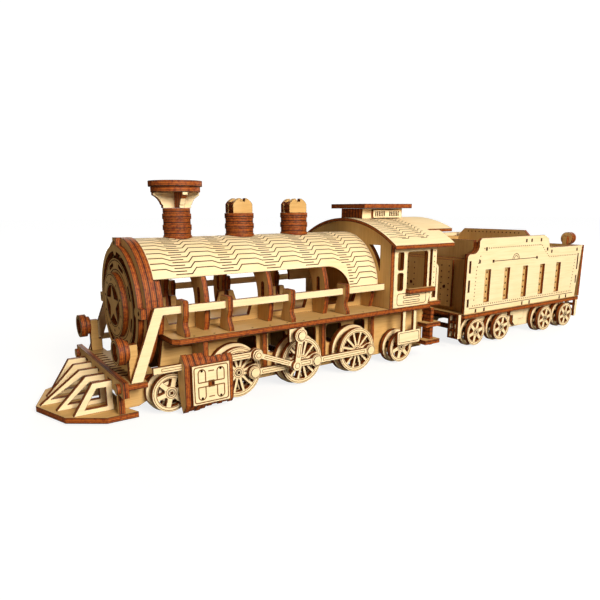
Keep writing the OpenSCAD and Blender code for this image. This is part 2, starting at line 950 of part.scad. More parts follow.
// Bent roof sheet with a longer middle part and a slit on each side
module cab_roof() {
    x0 = cab_x - 1;
    long = cab_end + 26;
    short = cab_end + 11;
    color(birch) from_nose() difference() {
        x_plate(x0, long - x0) translate([0, roof_mid_z]) intersection() {
            ring(roof_r, roof_r - thin);
            wide_rect(roof_half, roof_r / 2, roof_r + 1);
        }
        for (s = [-1, 1]) translate([0, 0, eave_z - 10]) linear_extrude(40) {
            rect(short, s * 46 - 10.4, long + 1, s * 46 + 10.4);
            rect(short - 10, s * 36.4 - 0.8, long + 1, s * 36.4 + 0.8);
        }
    }
}

lid_z = roof_top + 6.2;

// Hollow box on the roof, with a slotted plate on each side
module roof_ventilator() {
    x0 = cab_x + 6;
    x1 = x0 + 37;
    half = 11;
    color(birch) from_nose() {
        difference() {
            translate([x0, -half, roof_top - 3]) cube([x1 - x0, 2 * half, lid_z - roof_top + 3 - seam]);
            translate([x0 + sheet, -half + sheet, roof_top - 4])
                cube([x1 - x0 - 2 * sheet, 2 * half - 2 * sheet, 20]);
            x_plate(x0 - 1, x1 - x0 + 2) translate([0, roof_mid_z]) circle(roof_r + seam);
        }
        both_sides() y_plate(half + seam, half + thin) difference() {
            round_rect(x0 + 8, roof_top - 0.1, x1 - 3, lid_z - 1, 1);
            for (g = [0, 1], i = [0 : 5])
                rect(x0 + 10 + g * 13 + i * 1.6, roof_top + 1, x0 + 10.8 + g * 13 + i * 1.6, lid_z - 2);
        }
    }
}

module ventilator_lid() {
    color(char_edge) from_nose() z_plate(lid_z) rect(cab_x + 2, -17.5, cab_x + 46, 17.5);
}

// Two treads on a hanging bracket behind each cab side
module cab_steps() {
    x0 = cab_end - 9;
    color(char_edge) from_nose() both_sides() {
        x_plate(x0 + 6) rect(-board_half, 11, -board_half + 7, board_z - seam);
        for (z = [12, 24]) z_plate(z) difference() {
            rect(x0, -board_half - 2, x0 + 14, -board_half + 6);
            rect(x0 + 6 - seam, -board_half - seam, x0 + 6 + sheet + seam, -board_half + 7);
        }
    }
}

// Plates that hang in front of the trailing wheels
module cab_side_hangers() {
    mid = trailer_x + 3;
    top = small_r + 12;
    color(birch) from_nose() both_sides() y_plate(wheel_out + 2, wheel_out + 2 + thin) {
        round_rect(mid - 10.5, top - 9, mid + 10.5, top, 1.2);
        for (s = [-1, 1]) rect(mid + s * 5 - 1.3, top - 1, mid + s * 5 + 1.3, board_z - seam);
    }
}

// Curved rails at the cab's open rear
module grab_rails() {
    x0 = cab_end + 2;
    low = board_top + seam;
    color(birch) from_nose() both_sides() y_plate(board_half - 8.5, board_half - 6.5) difference() {
        union() {
            rect(x0, low, x0 + 8, low + 22);
            translate([x0 + 4, low + 22]) circle(4);
        }
        rect(x0 + 2.2, low + 2.4, x0 + 5.8, low + 22);
        translate([x0 + 4, low + 22]) circle(1.8);
    }
}

drawbar_z = tender_floor_z - sheet - 0.9;

module drawbar() {
    color(birch_shade) from_nose() z_plate(drawbar_z) difference() {
        union() {
            rect(cab_end - 10, -7, hitch_x, 7);
            translate([hitch_x, 0]) circle(7);
        }
        translate([hitch_x, 0]) circle(axle_r + run_gap);
    }
}

// ---- wheelsets ----

module front_drivers() {
    driver_set(0);
}

module middle_drivers() {
    driver_set(1);
}

module rear_drivers() {
    driver_set(2);
}

module truck_wheels() {
    small_set(truck_x);
}

module trailing_wheels() {
    small_set(trailer_x);
}

// ---- tender ----

// Floor with the pin that drops through the drawbar
module tender_floor() {
    color(birch) from_nose() {
        z_plate(tender_floor_z) difference() {
            rect(tender_x - 1, -tender_half - 1.4, tender_end - seam, tender_half + 1.4);
            translate([hitch_x, 0]) circle(axle_r + 0.02);
        }
        translate([hitch_x, 0, drawbar_z - 2.4]) cylinder(r = axle_r, h = tender_floor_top - drawbar_z + 2);
        translate([hitch_x, 0, drawbar_z - 2.4]) cylinder(r = axle_r + 1.6, h = 2.2);
    }
}

// Side panel outline, in X and Z, from its lower edge z0
module panel_outline(z0) {
    step_x = tender_x + 12.6;
    step_r = 6;
    drop_x = tender_x + 94.5;
    difference() {
        union() {
            polygon([
                [tender_x, z0], [tender_x, shoulder_z - 2], [tender_x + 2, shoulder_z],
                [step_x, shoulder_z], [step_x, panel_top - 2], [step_x + 2, panel_top],
                [drop_x, panel_top], [drop_x + 6, panel_top - 3], [drop_x + 8.6, tender_rear_z + 1],
                [drop_x + 10, tender_rear_z], [tender_end, tender_rear_z], [tender_end - 4.4, z0]
            ]);
            rect(step_x - step_r, shoulder_z - 1, step_x + 1, shoulder_z + step_r);
        }
        translate([step_x - step_r, shoulder_z + step_r]) circle(step_r);
    }
}

module tender_side_panels() {
    slot_low = panel_z + 7;
    color(birch) from_nose() both_sides() y_plate(tender_half - thin, tender_half) difference() {
        panel_outline(panel_z);
        for (i = [0 : slot_n - 1])
            rect(slot_x(i), slot_low, slot_x(i) + slot_w, slot_low + 24.6);
    }
}

function slot_x(i) = tender_x + 21.4 + i * slot_pitch;

module tender_inner_panels() {
    color(birch_shade) from_nose() both_sides() y_plate(inner_half - sheet, inner_half) intersection() {
        panel_outline(panel_z);
        rect(tender_x + 3, panel_z, tender_end - 6, panel_top - 3);
    }
}

// Walls across the tender: the front with its door panel, and both ends of the coal space
module tender_cross_walls() {
    front_top = tender_floor_top + 40;
    color(birch_shade) from_nose() {
        x_plate(tender_x + 6) wide_rect(wall_half, panel_z, front_top);
        x_plate(tender_x + 4 - seam, thin) difference() {
            wide_rect(24, panel_z + 3, front_top - 1.5);
            for (s = [-1, 1]) translate([s * 17, panel_z + 18]) circle(1.2);
        }
        x_plate(bunker_x) wide_rect(wall_half, panel_z, panel_top - 1.6);
        x_plate(coal_end_x) polygon([
            [-wall_half, panel_z], [-wall_half, panel_top - 2], [-wall_half + 6, panel_top + 3.8],
            [wall_half - 6, panel_top + 3.8], [wall_half, panel_top - 2], [wall_half, panel_z]
        ]);
        z_plate(tender_rear_z - 5) rect(coal_end_x + sheet + seam, -wall_half, tender_end - 8, wall_half);
    }
}

// Rear wall with two ears that carry the rear lamps
module tender_rear_wall() {
    lamp_side = 24;
    lamp_up = tender_rear_z + 5;
    color(birch) from_nose() x_plate(tender_end + seam) difference() {
        union() {
            wide_rect(tender_half, panel_z, tender_rear_z);
            for (s = [-1, 1]) rect(s * lamp_side - 2, tender_rear_z - 1, s * lamp_side + 2, lamp_up + 2);
        }
        for (s = [-1, 1]) rect(s * 34 - 1.5, panel_z + 4, s * 34 + 1.5, panel_z + 7);
    }
    color(char_edge) from_nose() for (s = [-1, 1]) {
        translate([0, s * lamp_side, lamp_up]) {
            x_plate(tender_end + sheet + 2 * seam, lamp_depth / 2 - 2 * seam) circle(5.4);
            x_plate(tender_end + sheet + lamp_depth / 2 + seam, lamp_depth / 2 - seam) ring(5.4, 3.2);
        }
    }
}

// Ladder outline in Y and Z, with its foot at z0
module ladder(z0, z1) {
    rung = (z1 - z0) / 3;
    difference() {
        rect(-tender_half + 1.5, z0, -tender_half + 11, z1);
        for (i = [0 : 2])
            rect(-tender_half + 3.7, z0 + i * rung + 1, -tender_half + 8.8, z0 + (i + 1) * rung - 1);
    }
}

module tender_frames() {
    top = tender_floor_z - seam;
    x0 = tender_x + 4;
    x1 = tender_end - 8;
    spring_x = (tender_axle_x(1) + tender_axle_x(2)) / 2;
    color(birch) from_nose() {
        both_sides() y_plate(frame_in, frame_out) difference() {
            rect(x0, small_r - 5, x1, top);
            for (i = [0 : 3]) translate([tender_axle_x(i), small_r]) circle(axle_r + run_gap);
        }
        both_sides() y_plate(frame_out + seam, frame_out + sheet) polygon([
            [spring_x - 9, top], [spring_x - 9, 17], [spring_x - 5, 17], [spring_x - 5, 11],
            [spring_x - 2, 8], [spring_x + 3, 8], [spring_x + 3, 13], [spring_x + 9, 13],
            [spring_x + 9, top]
        ]);
        both_sides() x_plate(tender_x - 1 - sheet - seam) ladder(8, tender_floor_top);
        both_sides() x_plate(tender_axle_x(3) + small_r + 5) ladder(8, top);
    }
}

module tender_wheels_1() {
    small_set(tender_axle_x(0));
}

module tender_wheels_2() {
    small_set(tender_axle_x(1));
}

module tender_wheels_3() {
    small_set(tender_axle_x(2));
}

module tender_wheels_4() {
    small_set(tender_axle_x(3));
}

side_frames();
frame_spacers();
cowcatcher_plate();
cowcatcher_bars();
buffer_beam();
front_deck();
lamp_posts();
headlamps();
smokebox_rings();
smokebox_front();
smokebox_door();
boiler_formers();
boiler_side_strips();
boiler_skin();
chimney_rings();
chimney_flare();
chimney_crown();
front_dome();
rear_dome();
running_board();
rail_brackets();
handrails();
left_cylinder();
right_cylinder();
cylinder_covers();
lever_hangers();
cab_floor();
cab_cross_walls();
cab_side_walls();
window_sills();
cab_roof();
roof_ventilator();
ventilator_lid();
cab_steps();
cab_side_hangers();
grab_rails();
drawbar();
front_drivers();
middle_drivers();
rear_drivers();
truck_wheels();
trailing_wheels();
left_coupling_rod();
right_coupling_rod();
left_piston_bar();
right_piston_bar();
left_link();
right_link();
left_lever();
right_lever();
tender_floor();
tender_side_panels();
tender_inner_panels();
tender_cross_walls();
tender_rear_wall();
tender_frames();
tender_wheels_1();
tender_wheels_2();
tender_wheels_3();
tender_wheels_4();
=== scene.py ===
"""Studio scene of a laser-cut plywood locomotive kit with its tender.

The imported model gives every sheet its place. This script gives the sheets their birch plywood,
with pale sanded faces and laser-burnt edges, and adds what the laser only scratched or cut fine:
the wave cuts that let the thin skins bend, the rows of burnt rivet dots and the engraved lines.
All lengths are in metres; mm() turns millimetres into metres.
"""
import math

import bmesh
import bpy
from mathutils import Matrix, Vector


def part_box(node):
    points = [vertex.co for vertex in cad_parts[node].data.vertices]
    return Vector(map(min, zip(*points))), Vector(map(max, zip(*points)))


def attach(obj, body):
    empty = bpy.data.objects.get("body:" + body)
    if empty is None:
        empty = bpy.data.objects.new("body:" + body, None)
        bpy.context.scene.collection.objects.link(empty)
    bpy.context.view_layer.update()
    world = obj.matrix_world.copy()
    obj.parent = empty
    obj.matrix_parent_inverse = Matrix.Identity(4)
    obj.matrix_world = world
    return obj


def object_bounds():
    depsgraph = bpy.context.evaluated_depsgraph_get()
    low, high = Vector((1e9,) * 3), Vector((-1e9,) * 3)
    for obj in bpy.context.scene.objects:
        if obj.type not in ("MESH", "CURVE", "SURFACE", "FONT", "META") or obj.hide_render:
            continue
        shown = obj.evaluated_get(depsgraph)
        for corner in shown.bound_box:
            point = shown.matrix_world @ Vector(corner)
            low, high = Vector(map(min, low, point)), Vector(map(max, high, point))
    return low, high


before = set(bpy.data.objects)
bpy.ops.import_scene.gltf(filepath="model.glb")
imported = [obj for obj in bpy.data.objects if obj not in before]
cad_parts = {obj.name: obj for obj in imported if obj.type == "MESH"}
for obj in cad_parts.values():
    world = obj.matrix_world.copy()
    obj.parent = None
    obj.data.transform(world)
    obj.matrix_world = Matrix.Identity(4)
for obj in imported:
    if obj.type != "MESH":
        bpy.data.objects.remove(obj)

CAD_BOX = [list(corner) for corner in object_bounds()]


def mm(value):
    """Millimetres to metres."""
    return value / 1000


# Sheet stock and the depth at which a burnt mark stands on its sheet
SHEET = mm(3)
THIN = mm(2)
MARK = mm(0.06)


# ---------------------------------------------------------------- colours and nodes

def linear(code):
    """An sRGB hex colour as linear red, green, blue and alpha."""
    parts = [int(code[i:i + 2], 16) / 255 for i in (1, 3, 5)]
    curve = [c / 12.92 if c <= 0.04045 else ((c + 0.055) / 1.055) ** 2.4 for c in parts]
    return (*curve, 1.0)


def add(tree, kind, settings=None, **links):
    """Adds a node. settings are its properties; links are its inputs by name, as values or sockets."""
    node = tree.nodes.new(kind)
    for key, value in (settings or {}).items():
        setattr(node, key, value)
    for key, value in links.items():
        socket = node.inputs[int(key[1:])] if key[1:].isdigit() else node.inputs[key.replace("_", " ")]
        if isinstance(value, bpy.types.NodeSocket):
            tree.links.new(value, socket)
        else:
            socket.default_value = value
    return node


def new_material(name, roughness, specular):
    """An empty wood material and its shader."""
    material = bpy.data.materials.new(name)
    material.use_nodes = True
    shader = material.node_tree.nodes["Principled BSDF"]
    shader.inputs["Roughness"].default_value = roughness
    shader.inputs["Specular IOR Level"].default_value = specular
    return material, material.node_tree, shader


# Birch plywood: a pale, close-grained face, and an edge that the laser burnt to a warm brown
FACE_LIGHT = "#EBD6AE"
FACE_DARK = "#DFC08C"
FACE_WARM = "#E2C38F"
# The next two tones are painted shade: a darker copy of the face's tones for sheets that face forward
# or up, and for the frames and inner sheets that stand in shade
SHADED_FACE_LIGHT = "#C9A062"
SHADED_FACE_DARK = "#A87C44"
EDGE_AMBER = "#A85614"
EDGE_BROWN = "#562608"
EDGE_CHAR = "#231006"
# How far the laser browns a face along its cut edge
BURN_REACH = mm(0.55)

# Light: the room's own, the soft boxes in watts, and the paper's glow near and far
ROOM_LIGHT = 0.02
KEY_POWER = 25.0
TOP_POWER = 1.5
FILL_POWER = 2.2
FAR_POWER = 9.0
TAIL_POWER = 6.0
PAPER_GLOW_NEAR = 0.82
PAPER_GLOW_FAR = 0.99

AXES = {"x": (1, 0, 0), "y": (0, 1, 0), "z": (0, 0, 1)}
# How a streak of grain is stretched on a sheet that faces along each axis, per metre
GRAIN = {"x": (900, 900, 45), "y": (45, 900, 900), "z": (45, 900, 900), "bent": (45, 900, 900)}


def facing(tree, coords, lies, centre_z=0.0):
    """Full on a sheet's two faces and nothing on its cut edges."""
    if lies == "bent":
        outward = add(tree, "ShaderNodeVectorMath", {"operation": "NORMALIZE"},
                      _0=from_axis(tree, coords, centre_z)).outputs[0]
    else:
        outward = AXES[lies]
    dot = add(tree, "ShaderNodeVectorMath", {"operation": "DOT_PRODUCT"},
              _0=coords.outputs["Normal"], _1=outward).outputs["Value"]
    size = add(tree, "ShaderNodeMath", {"operation": "ABSOLUTE"}, _0=dot).outputs[0]
    return add(tree, "ShaderNodeMath", {"operation": "GREATER_THAN"}, _0=size, _1=0.72).outputs[0]


def from_axis(tree, coords, centre_z):
    """The way out from an axis along X at that height, with its length as the distance."""
    moved = add(tree, "ShaderNodeVectorMath", {"operation": "SUBTRACT"},
                _0=coords.outputs["Object"], _1=(0, 0, centre_z))
    return add(tree, "ShaderNodeVectorMath", {"operation": "MULTIPLY"},
               _0=moved.outputs[0], _1=(0, 1, 1)).outputs[0]


def burn_line(tree):
    """How near a cut edge is: full on the edge, nothing past the reach of the burn."""
    rounded = add(tree, "ShaderNodeBevel", {"samples": 6}, Radius=BURN_REACH)
    true = add(tree, "ShaderNodeNewGeometry")
    dot = add(tree, "ShaderNodeVectorMath", {"operation": "DOT_PRODUCT"},
              _0=rounded.outputs[0], _1=true.outputs["Normal"]).outputs["Value"]
    near = add(tree, "ShaderNodeMapRange", Value=dot)
    near.inputs["From Min"].default_value = 0.995
    near.inputs["From Max"].default_value = 0.86
    near.inputs["To Max"].default_value = 0.92
    return near.outputs[0]


def birch_face(tree, coords, lies, light, dark):
    """Sanded birch: faint streaks along the grain over slow patches of warmer wood."""
    streak_at = add(tree, "ShaderNodeMapping", Vector=coords.outputs["Object"], Scale=GRAIN[lies])
    streak = add(tree, "ShaderNodeTexNoise", Vector=streak_at.outputs[0], Scale=1.0, Detail=4.0,
                 Roughness=0.6, Distortion=0.4)
    patch = add(tree, "ShaderNodeTexNoise", Vector=coords.outputs["Object"], Scale=38.0, Detail=2.0)
    grain = add(tree, "ShaderNodeMix", {"data_type": "RGBA"})
    grain.inputs[6].default_value = linear(light)
    grain.inputs[7].default_value = linear(dark)
    amount = add(tree, "ShaderNodeMapRange", Value=streak.outputs["Fac"])
    amount.inputs["From Min"].default_value = 0.42
    amount.inputs["From Max"].default_value = 0.8
    amount.inputs["To Max"].default_value = 0.7
    tree.links.new(amount.outputs[0], grain.inputs[0])
    warm = add(tree, "ShaderNodeMix", {"data_type": "RGBA"})
    share = add(tree, "ShaderNodeMapRange", Value=patch.outputs["Fac"])
    share.inputs["From Min"].default_value = 0.5
    share.inputs["From Max"].default_value = 0.8
    share.inputs["To Max"].default_value = 0.45
    tree.links.new(share.outputs[0], warm.inputs[0])
    tree.links.new(grain.outputs[2], warm.inputs[6])
    warm.inputs[7].default_value = linear(FACE_WARM)
    return warm.outputs[2], streak.outputs["Fac"]


def burnt_edge(tree, coords, lies, start, pitch, light, dark, centre_z=0.0):
    """A laser-cut edge: thin plies, dark at the glue lines, mottled by the burn."""
    if lies == "bent":
        depth = add(tree, "ShaderNodeVectorMath", {"operation": "LENGTH"},
                    _0=from_axis(tree, coords, centre_z)).outputs["Value"]
    else:
        depth = add(tree, "ShaderNodeVectorMath", {"operation": "DOT_PRODUCT"},
                    _0=coords.outputs["Object"], _1=AXES[lies]).outputs["Value"]
    from_start = add(tree, "ShaderNodeMath", {"operation": "SUBTRACT"}, _0=depth, _1=start)
    turns = add(tree, "ShaderNodeMath", {"operation": "DIVIDE"}, _0=from_start.outputs[0], _1=pitch)
    within = add(tree, "ShaderNodeMath", {"operation": "FLOORED_MODULO"}, _0=turns.outputs[0], _1=1.0)
    plies = add(tree, "ShaderNodeValToRGB", Fac=within.outputs[0])
    ramp = plies.color_ramp
    ramp.elements[0].position = 0.0
    ramp.elements[0].color = linear(EDGE_CHAR)
    ramp.elements[1].position = 1.0
    ramp.elements[1].color = linear(EDGE_CHAR)
    for place, tone in ((0.1, dark), (0.22, light), (0.36, dark), (0.44, light), (0.62, light),
                        (0.7, dark), (0.82, light), (0.93, dark)):
        ramp.elements.new(place).color = linear(tone)
    mottle = add(tree, "ShaderNodeTexNoise", Vector=coords.outputs["Object"], Scale=700.0, Detail=3.0)
    burn = add(tree, "ShaderNodeMix", {"data_type": "RGBA", "blend_type": "MULTIPLY"})
    share = add(tree, "ShaderNodeMapRange", Value=mottle.outputs["Fac"])
    share.inputs["From Min"].default_value = 0.45
    share.inputs["From Max"].default_value = 0.65
    share.inputs["To Max"].default_value = 0.75
    tree.links.new(share.outputs[0], burn.inputs[0])
    tree.links.new(plies.outputs[0], burn.inputs[6])
    burn.inputs[7].default_value = linear("#A8602A")
    return burn.outputs[2]


def plywood(name, lies, start=0.0, pitch=SHEET, tones=(FACE_LIGHT, FACE_DARK),
            edges=(EDGE_AMBER, EDGE_BROWN), centre_z=0.0, second=None):
    """Birch plywood for sheets that all face one way, or are bent round an axis along X.

    Sanded birch is dull and fine-grained; its burnt edge is rougher and much darker. second is a
    way that other sheets of the piece face, with the axis and the place that they start from.
    """
    material, tree, shader = new_material(name, 0.62, 0.3)
    coords = add(tree, "ShaderNodeTexCoord")
    is_face = facing(tree, coords, lies, centre_z)
    if second is not None:
        other, axis, begins = second
        place = add(tree, "ShaderNodeSeparateXYZ", Vector=coords.outputs["Object"]).outputs[axis]
        beyond = add(tree, "ShaderNodeMath", {"operation": "GREATER_THAN"}, _0=place, _1=begins)
        other_face = add(tree, "ShaderNodeMath", {"operation": "MULTIPLY"},
                         _0=beyond.outputs[0], _1=facing(tree, coords, other))
        is_face = add(tree, "ShaderNodeMath", {"operation": "MAXIMUM"},
                      _0=is_face, _1=other_face.outputs[0]).outputs[0]
    face, streak = birch_face(tree, coords, lies, *tones)
    edge = burnt_edge(tree, coords, lies, start, pitch, *edges, centre_z)
    both = add(tree, "ShaderNodeMix", {"data_type": "RGBA"})
    tree.links.new(is_face, both.inputs[0])
    tree.links.new(edge, both.inputs[6])
    tree.links.new(face, both.inputs[7])
    outlined = add(tree, "ShaderNodeMix", {"data_type": "RGBA"})
    tree.links.new(burn_line(tree), outlined.inputs[0])
    tree.links.new(both.outputs[2], outlined.inputs[6])
    outlined.inputs[7].default_value = linear(EDGE_CHAR)
    tree.links.new(outlined.outputs[2], shader.inputs["Base Color"])
    relief = add(tree, "ShaderNodeBump", Height=streak, Strength=0.25, Distance=mm(0.08))
    tree.links.new(relief.outputs[0], shader.inputs["Normal"])
    return material


def scorched(name, dark, light):
    """What the laser burnt: matt char, nearly black where it went deep, brown where it only drew."""
    material, tree, shader = new_material(name, 0.85, 0.15)
    coords = add(tree, "ShaderNodeTexCoord")
    soot = add(tree, "ShaderNodeTexNoise", Vector=coords.outputs["Object"], Scale=900.0, Detail=3.0)
    tone = add(tree, "ShaderNodeMix", {"data_type": "RGBA"})
    tone.inputs[6].default_value = linear(dark)
    tone.inputs[7].default_value = linear(light)
    tree.links.new(soot.outputs["Fac"], tone.inputs[0])
    tree.links.new(tone.outputs[2], shader.inputs["Base Color"])
    return material


def backdrop_white():
    """Matt white paper under and behind the model."""
    material, tree, shader = new_material("white_paper", 0.9, 0.1)
    coords = add(tree, "ShaderNodeTexCoord")
    tooth = add(tree, "ShaderNodeTexNoise", Vector=coords.outputs["Object"], Scale=400.0, Detail=2.0)
    tone = add(tree, "ShaderNodeMix", {"data_type": "RGBA"})
    tone.inputs[6].default_value = linear("#807E7B")
    tone.inputs[7].default_value = linear("#84827F")
    tree.links.new(tooth.outputs["Fac"], tone.inputs[0])
    tree.links.new(tone.outputs[2], shader.inputs["Base Color"])
    shader.inputs["Emission Color"].default_value = linear("#FFFFFF")
    # the paper shows white, whiter away from the model, but throws little light back at it
    ray = add(tree, "ShaderNodeLightPath")
    away = add(tree, "ShaderNodeVectorMath", {"operation": "LENGTH"}, _0=coords.outputs["Object"])
    sweep = add(tree, "ShaderNodeMapRange", Value=away.outputs["Value"])
    sweep.inputs["From Min"].default_value = 0.2
    sweep.inputs["From Max"].default_value = 0.8
    sweep.inputs["To Min"].default_value = PAPER_GLOW_NEAR
    sweep.inputs["To Max"].default_value = PAPER_GLOW_FAR
    glow = add(tree, "ShaderNodeMath", {"operation": "MULTIPLY"},
               _0=ray.outputs["Is Camera Ray"], _1=sweep.outputs[0])
    tree.links.new(glow.outputs[0], shader.inputs["Emission Strength"])
    return material


# ---------------------------------------------------------------- places read from the model

def low(node):
    """The corner of a node's box with the smallest X, Y and Z."""
    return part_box(node)[0]


def high(node):
    """The corner of a node's box with the largest X, Y and Z."""
    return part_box(node)[1]


SKIN_TOP = high("boiler_skin").z
BARREL_R = high("boiler_skin").y
BARREL_Z = SKIN_TOP - BARREL_R
ROOF_HALF = high("cab_roof").y
ROOF_TOP = high("cab_roof").z
ROOF_RISE = ROOF_TOP - low("cab_roof").z
# The roof's curve, from its height and the rise between the eaves' inner face and the ridge
ROOF_R = (ROOF_HALF ** 2 + ROOF_RISE ** 2 - THIN ** 2) / (2 * (ROOF_RISE - THIN))
NOSE = CAD_BOX[0][0]
# The front of the wall between the coal and the tender's rear deck
COAL_WALL = low("tender_side_panels").x + mm(82)


def paint(nodes, material):
    """Gives carried-over sheets their plywood."""
    for node in nodes:
        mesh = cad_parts[node].data
        mesh.materials.clear()
        mesh.materials.append(material)


def paint_all_sheets():
    """Each sheet's plywood, by the way the sheet lies and where its plies start, with a darker tone
    painted on as shade for sheets that face forward or up or stand in shade.
    """
    along = [
        ("side_frames", "painted_shade"), ("cowcatcher_bars", "pale"), ("lamp_posts", "painted_shade"),
        ("boiler_side_strips", "painted_shade"), ("handrails", "pale"), ("cylinder_covers", "pale"),
        ("lever_hangers", "pale"), ("cab_side_walls", "pale"), ("cab_side_hangers", "pale"),
        ("grab_rails", "pale"), ("tender_side_panels", "pale"), ("tender_inner_panels", "painted_shade"),
        ("left_coupling_rod", "pale"), ("right_coupling_rod", "pale"), ("left_piston_bar", "pale"),
        ("right_piston_bar", "pale"), ("left_link", "pale"), ("right_link", "pale"),
        ("left_lever", "pale"), ("right_lever", "pale"), ("tender_frames", "pale"),
    ]
    along += [(name, "pale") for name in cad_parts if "wheels" in name or "drivers" in name]
    across = [
        "frame_spacers", "buffer_beam", "headlamps", "smokebox_rings", "smokebox_front",
        "smokebox_door", "boiler_formers", "rail_brackets", "left_cylinder", "right_cylinder",
        "cab_cross_walls", "tender_cross_walls", "tender_rear_wall",
    ]
    level = [
        "cowcatcher_plate", "front_deck", "chimney_rings", "chimney_crown", "running_board",
        "cab_floor", "window_sills", "ventilator_lid", "cab_steps", "drawbar", "tender_floor",
    ]
    # The second tone is painted shade: it darkens sheets that face forward or up, and the frames and
    # inner sheets that stand in shade
    tones = {"pale": (FACE_LIGHT, FACE_DARK), "painted_shade": (SHADED_FACE_LIGHT, SHADED_FACE_DARK)}
    for name, tone in along:
        start = -high(name).y
        paint([name], plywood(f"birch_ply_{name}", "y", start, SHEET, tones[tone]))
    rear_deck = ("z", "X", COAL_WALL + SHEET)
    for name in across:
        paint([name], plywood(f"birch_ply_{name}", "x", low(name).x, SHEET, tones["painted_shade"],
                              second=rear_deck if name == "tender_cross_walls" else None))
    for name in level:
        paint([name], plywood(f"birch_ply_{name}", "z", low(name).z, SHEET, tones["painted_shade"]))
    for name in ("front_dome", "rear_dome"):
        caps = high(name).z - mm(8.6)
        paint([name], plywood(f"birch_ply_{name}", "z", low(name).z, SHEET, tones["painted_shade"],
                              second=("y", "Z", caps)))
    paint(["chimney_flare"], plywood("birch_ply_flare", "y", mm(-1.5), SHEET))
    paint(["roof_ventilator"], plywood("birch_ply_ventilator", "y", low("roof_ventilator").y, SHEET))
    paint(["boiler_skin"], plywood("bent_birch_ply_boiler", "bent", BARREL_R - THIN, THIN,
                                   centre_z=BARREL_Z))
    paint(["cab_roof"], plywood("bent_birch_ply_roof", "bent", ROOF_R - THIN, THIN,
                                centre_z=ROOF_TOP - ROOF_R))


# ---------------------------------------------------------------- meshes

def mesh_object(name, verts, faces, material):
    mesh = bpy.data.meshes.new(name)
    mesh.from_pydata(verts, [], faces)
    mesh.materials.append(material)
    thing = bpy.data.objects.new(name, mesh)
    bpy.context.scene.collection.objects.link(thing)
    return thing


def strip(points, width):
    """A flat line of even width through the points, mitred: its vertices and faces in 2-D."""
    verts = []
    for i, p in enumerate(points):
        before = Vector(points[max(i - 1, 0)])
        after = Vector(points[min(i + 1, len(points) - 1)])
        here = Vector(p)
        a = (here - before).normalized() if i > 0 else (after - here).normalized()
        b = (after - here).normalized() if i < len(points) - 1 else a
        mean = (a + b).normalized()
        side = Vector((-mean.y, mean.x))
        reach = width / 2 / max(side.dot(Vector((-a.y, a.x))), 0.4)
        verts += [tuple(here + side * reach), tuple(here - side * reach)]
    faces = [(2 * i, 2 * i + 1, 2 * i + 3, 2 * i + 2) for i in range(len(points) - 1)]
    return verts, faces


def thicken(flat_verts, faces, height):
    """Closed slabs from flat faces: vertices with a height, and outward faces."""
    n = len(flat_verts)
    verts = [(x, y, 0.0) for x, y in flat_verts] + [(x, y, height) for x, y in flat_verts]
    edges = {}
    for face in faces:
        for i, a in enumerate(face):
            b = face[(i + 1) % len(face)]
            edges[(a, b)] = True
    solid = [tuple(reversed(f)) for f in faces] + [tuple(v + n for v in f) for f in faces]
    for a, b in edges:
        if (b, a) not in edges:
            solid.append((a, b, b + n, a + n))
    return verts, solid


def outward(mesh):
    work = bmesh.new()
    work.from_mesh(mesh)
    bmesh.ops.recalc_face_normals(work, faces=work.faces)
    work.to_mesh(mesh)
    work.free()


def arc(cx, cy, r, start, stop, steps=10):
    """Points of an arc, in degrees, as millimetres."""
    turn = [math.radians(start + (stop - start) * i / steps) for i in range(steps + 1)]
    return [(cx + r * math.cos(a), cy + r * math.sin(a)) for a in turn]


def rounded_box(x0, y0, x1, y1, r):
    """Closed outline of a box with round corners."""
    points = arc(x1 - r, y1 - r, r, 0, 90, 4) + arc(x0 + r, y1 - r, r, 90, 180, 4)
    points += arc(x0 + r, y0 + r, r, 180, 270, 4) + arc(x1 - r, y0 + r, r, 270, 360, 4)
    return points + [points[0]]


# ---------------------------------------------------------------- Geometry Nodes

def tree_with(name, inputs):
    """An empty node tree with a mesh coming in, named inputs, and a mesh going out."""
    tree = bpy.data.node_groups.new(name, "GeometryNodeTree")
    tree.interface.new_socket("Mesh", in_out="INPUT", socket_type="NodeSocketGeometry")
    for label, kind in inputs:
        tree.interface.new_socket(label, in_out="INPUT", socket_type=kind)
    tree.interface.new_socket("Mesh", in_out="OUTPUT", socket_type="NodeSocketGeometry")
    return tree, add(tree, "NodeGroupInput"), add(tree, "NodeGroupOutput")


def rivet_tree():
    """Sets a burnt dot at even steps along every guide line."""
    tree, given, out = tree_with("burnt_dots_along_lines", [
        ("Spacing", "NodeSocketFloat"), ("Radius", "NodeSocketFloat"), ("Height", "NodeSocketFloat"),
        ("Sides", "NodeSocketInt"), ("Burn", "NodeSocketMaterial")])
    lines = add(tree, "GeometryNodeMeshToCurve", Mesh=given.outputs["Mesh"])
    steps = add(tree, "GeometryNodeResampleCurve", {"mode": "LENGTH"},
                Curve=lines.outputs[0], Length=given.outputs["Spacing"])
    dot = add(tree, "GeometryNodeMeshCylinder", Vertices=given.outputs["Sides"],
              Radius=given.outputs["Radius"], Depth=given.outputs["Height"])
    spots = add(tree, "GeometryNodeInstanceOnPoints", Points=steps.outputs[0],
                Instance=dot.outputs["Mesh"])
    real = add(tree, "GeometryNodeRealizeInstances", Geometry=spots.outputs[0])
    burnt = add(tree, "GeometryNodeSetMaterial", Geometry=real.outputs[0],
                Material=given.outputs["Burn"])
    tree.links.new(burnt.outputs[0], out.inputs[0])
    return tree


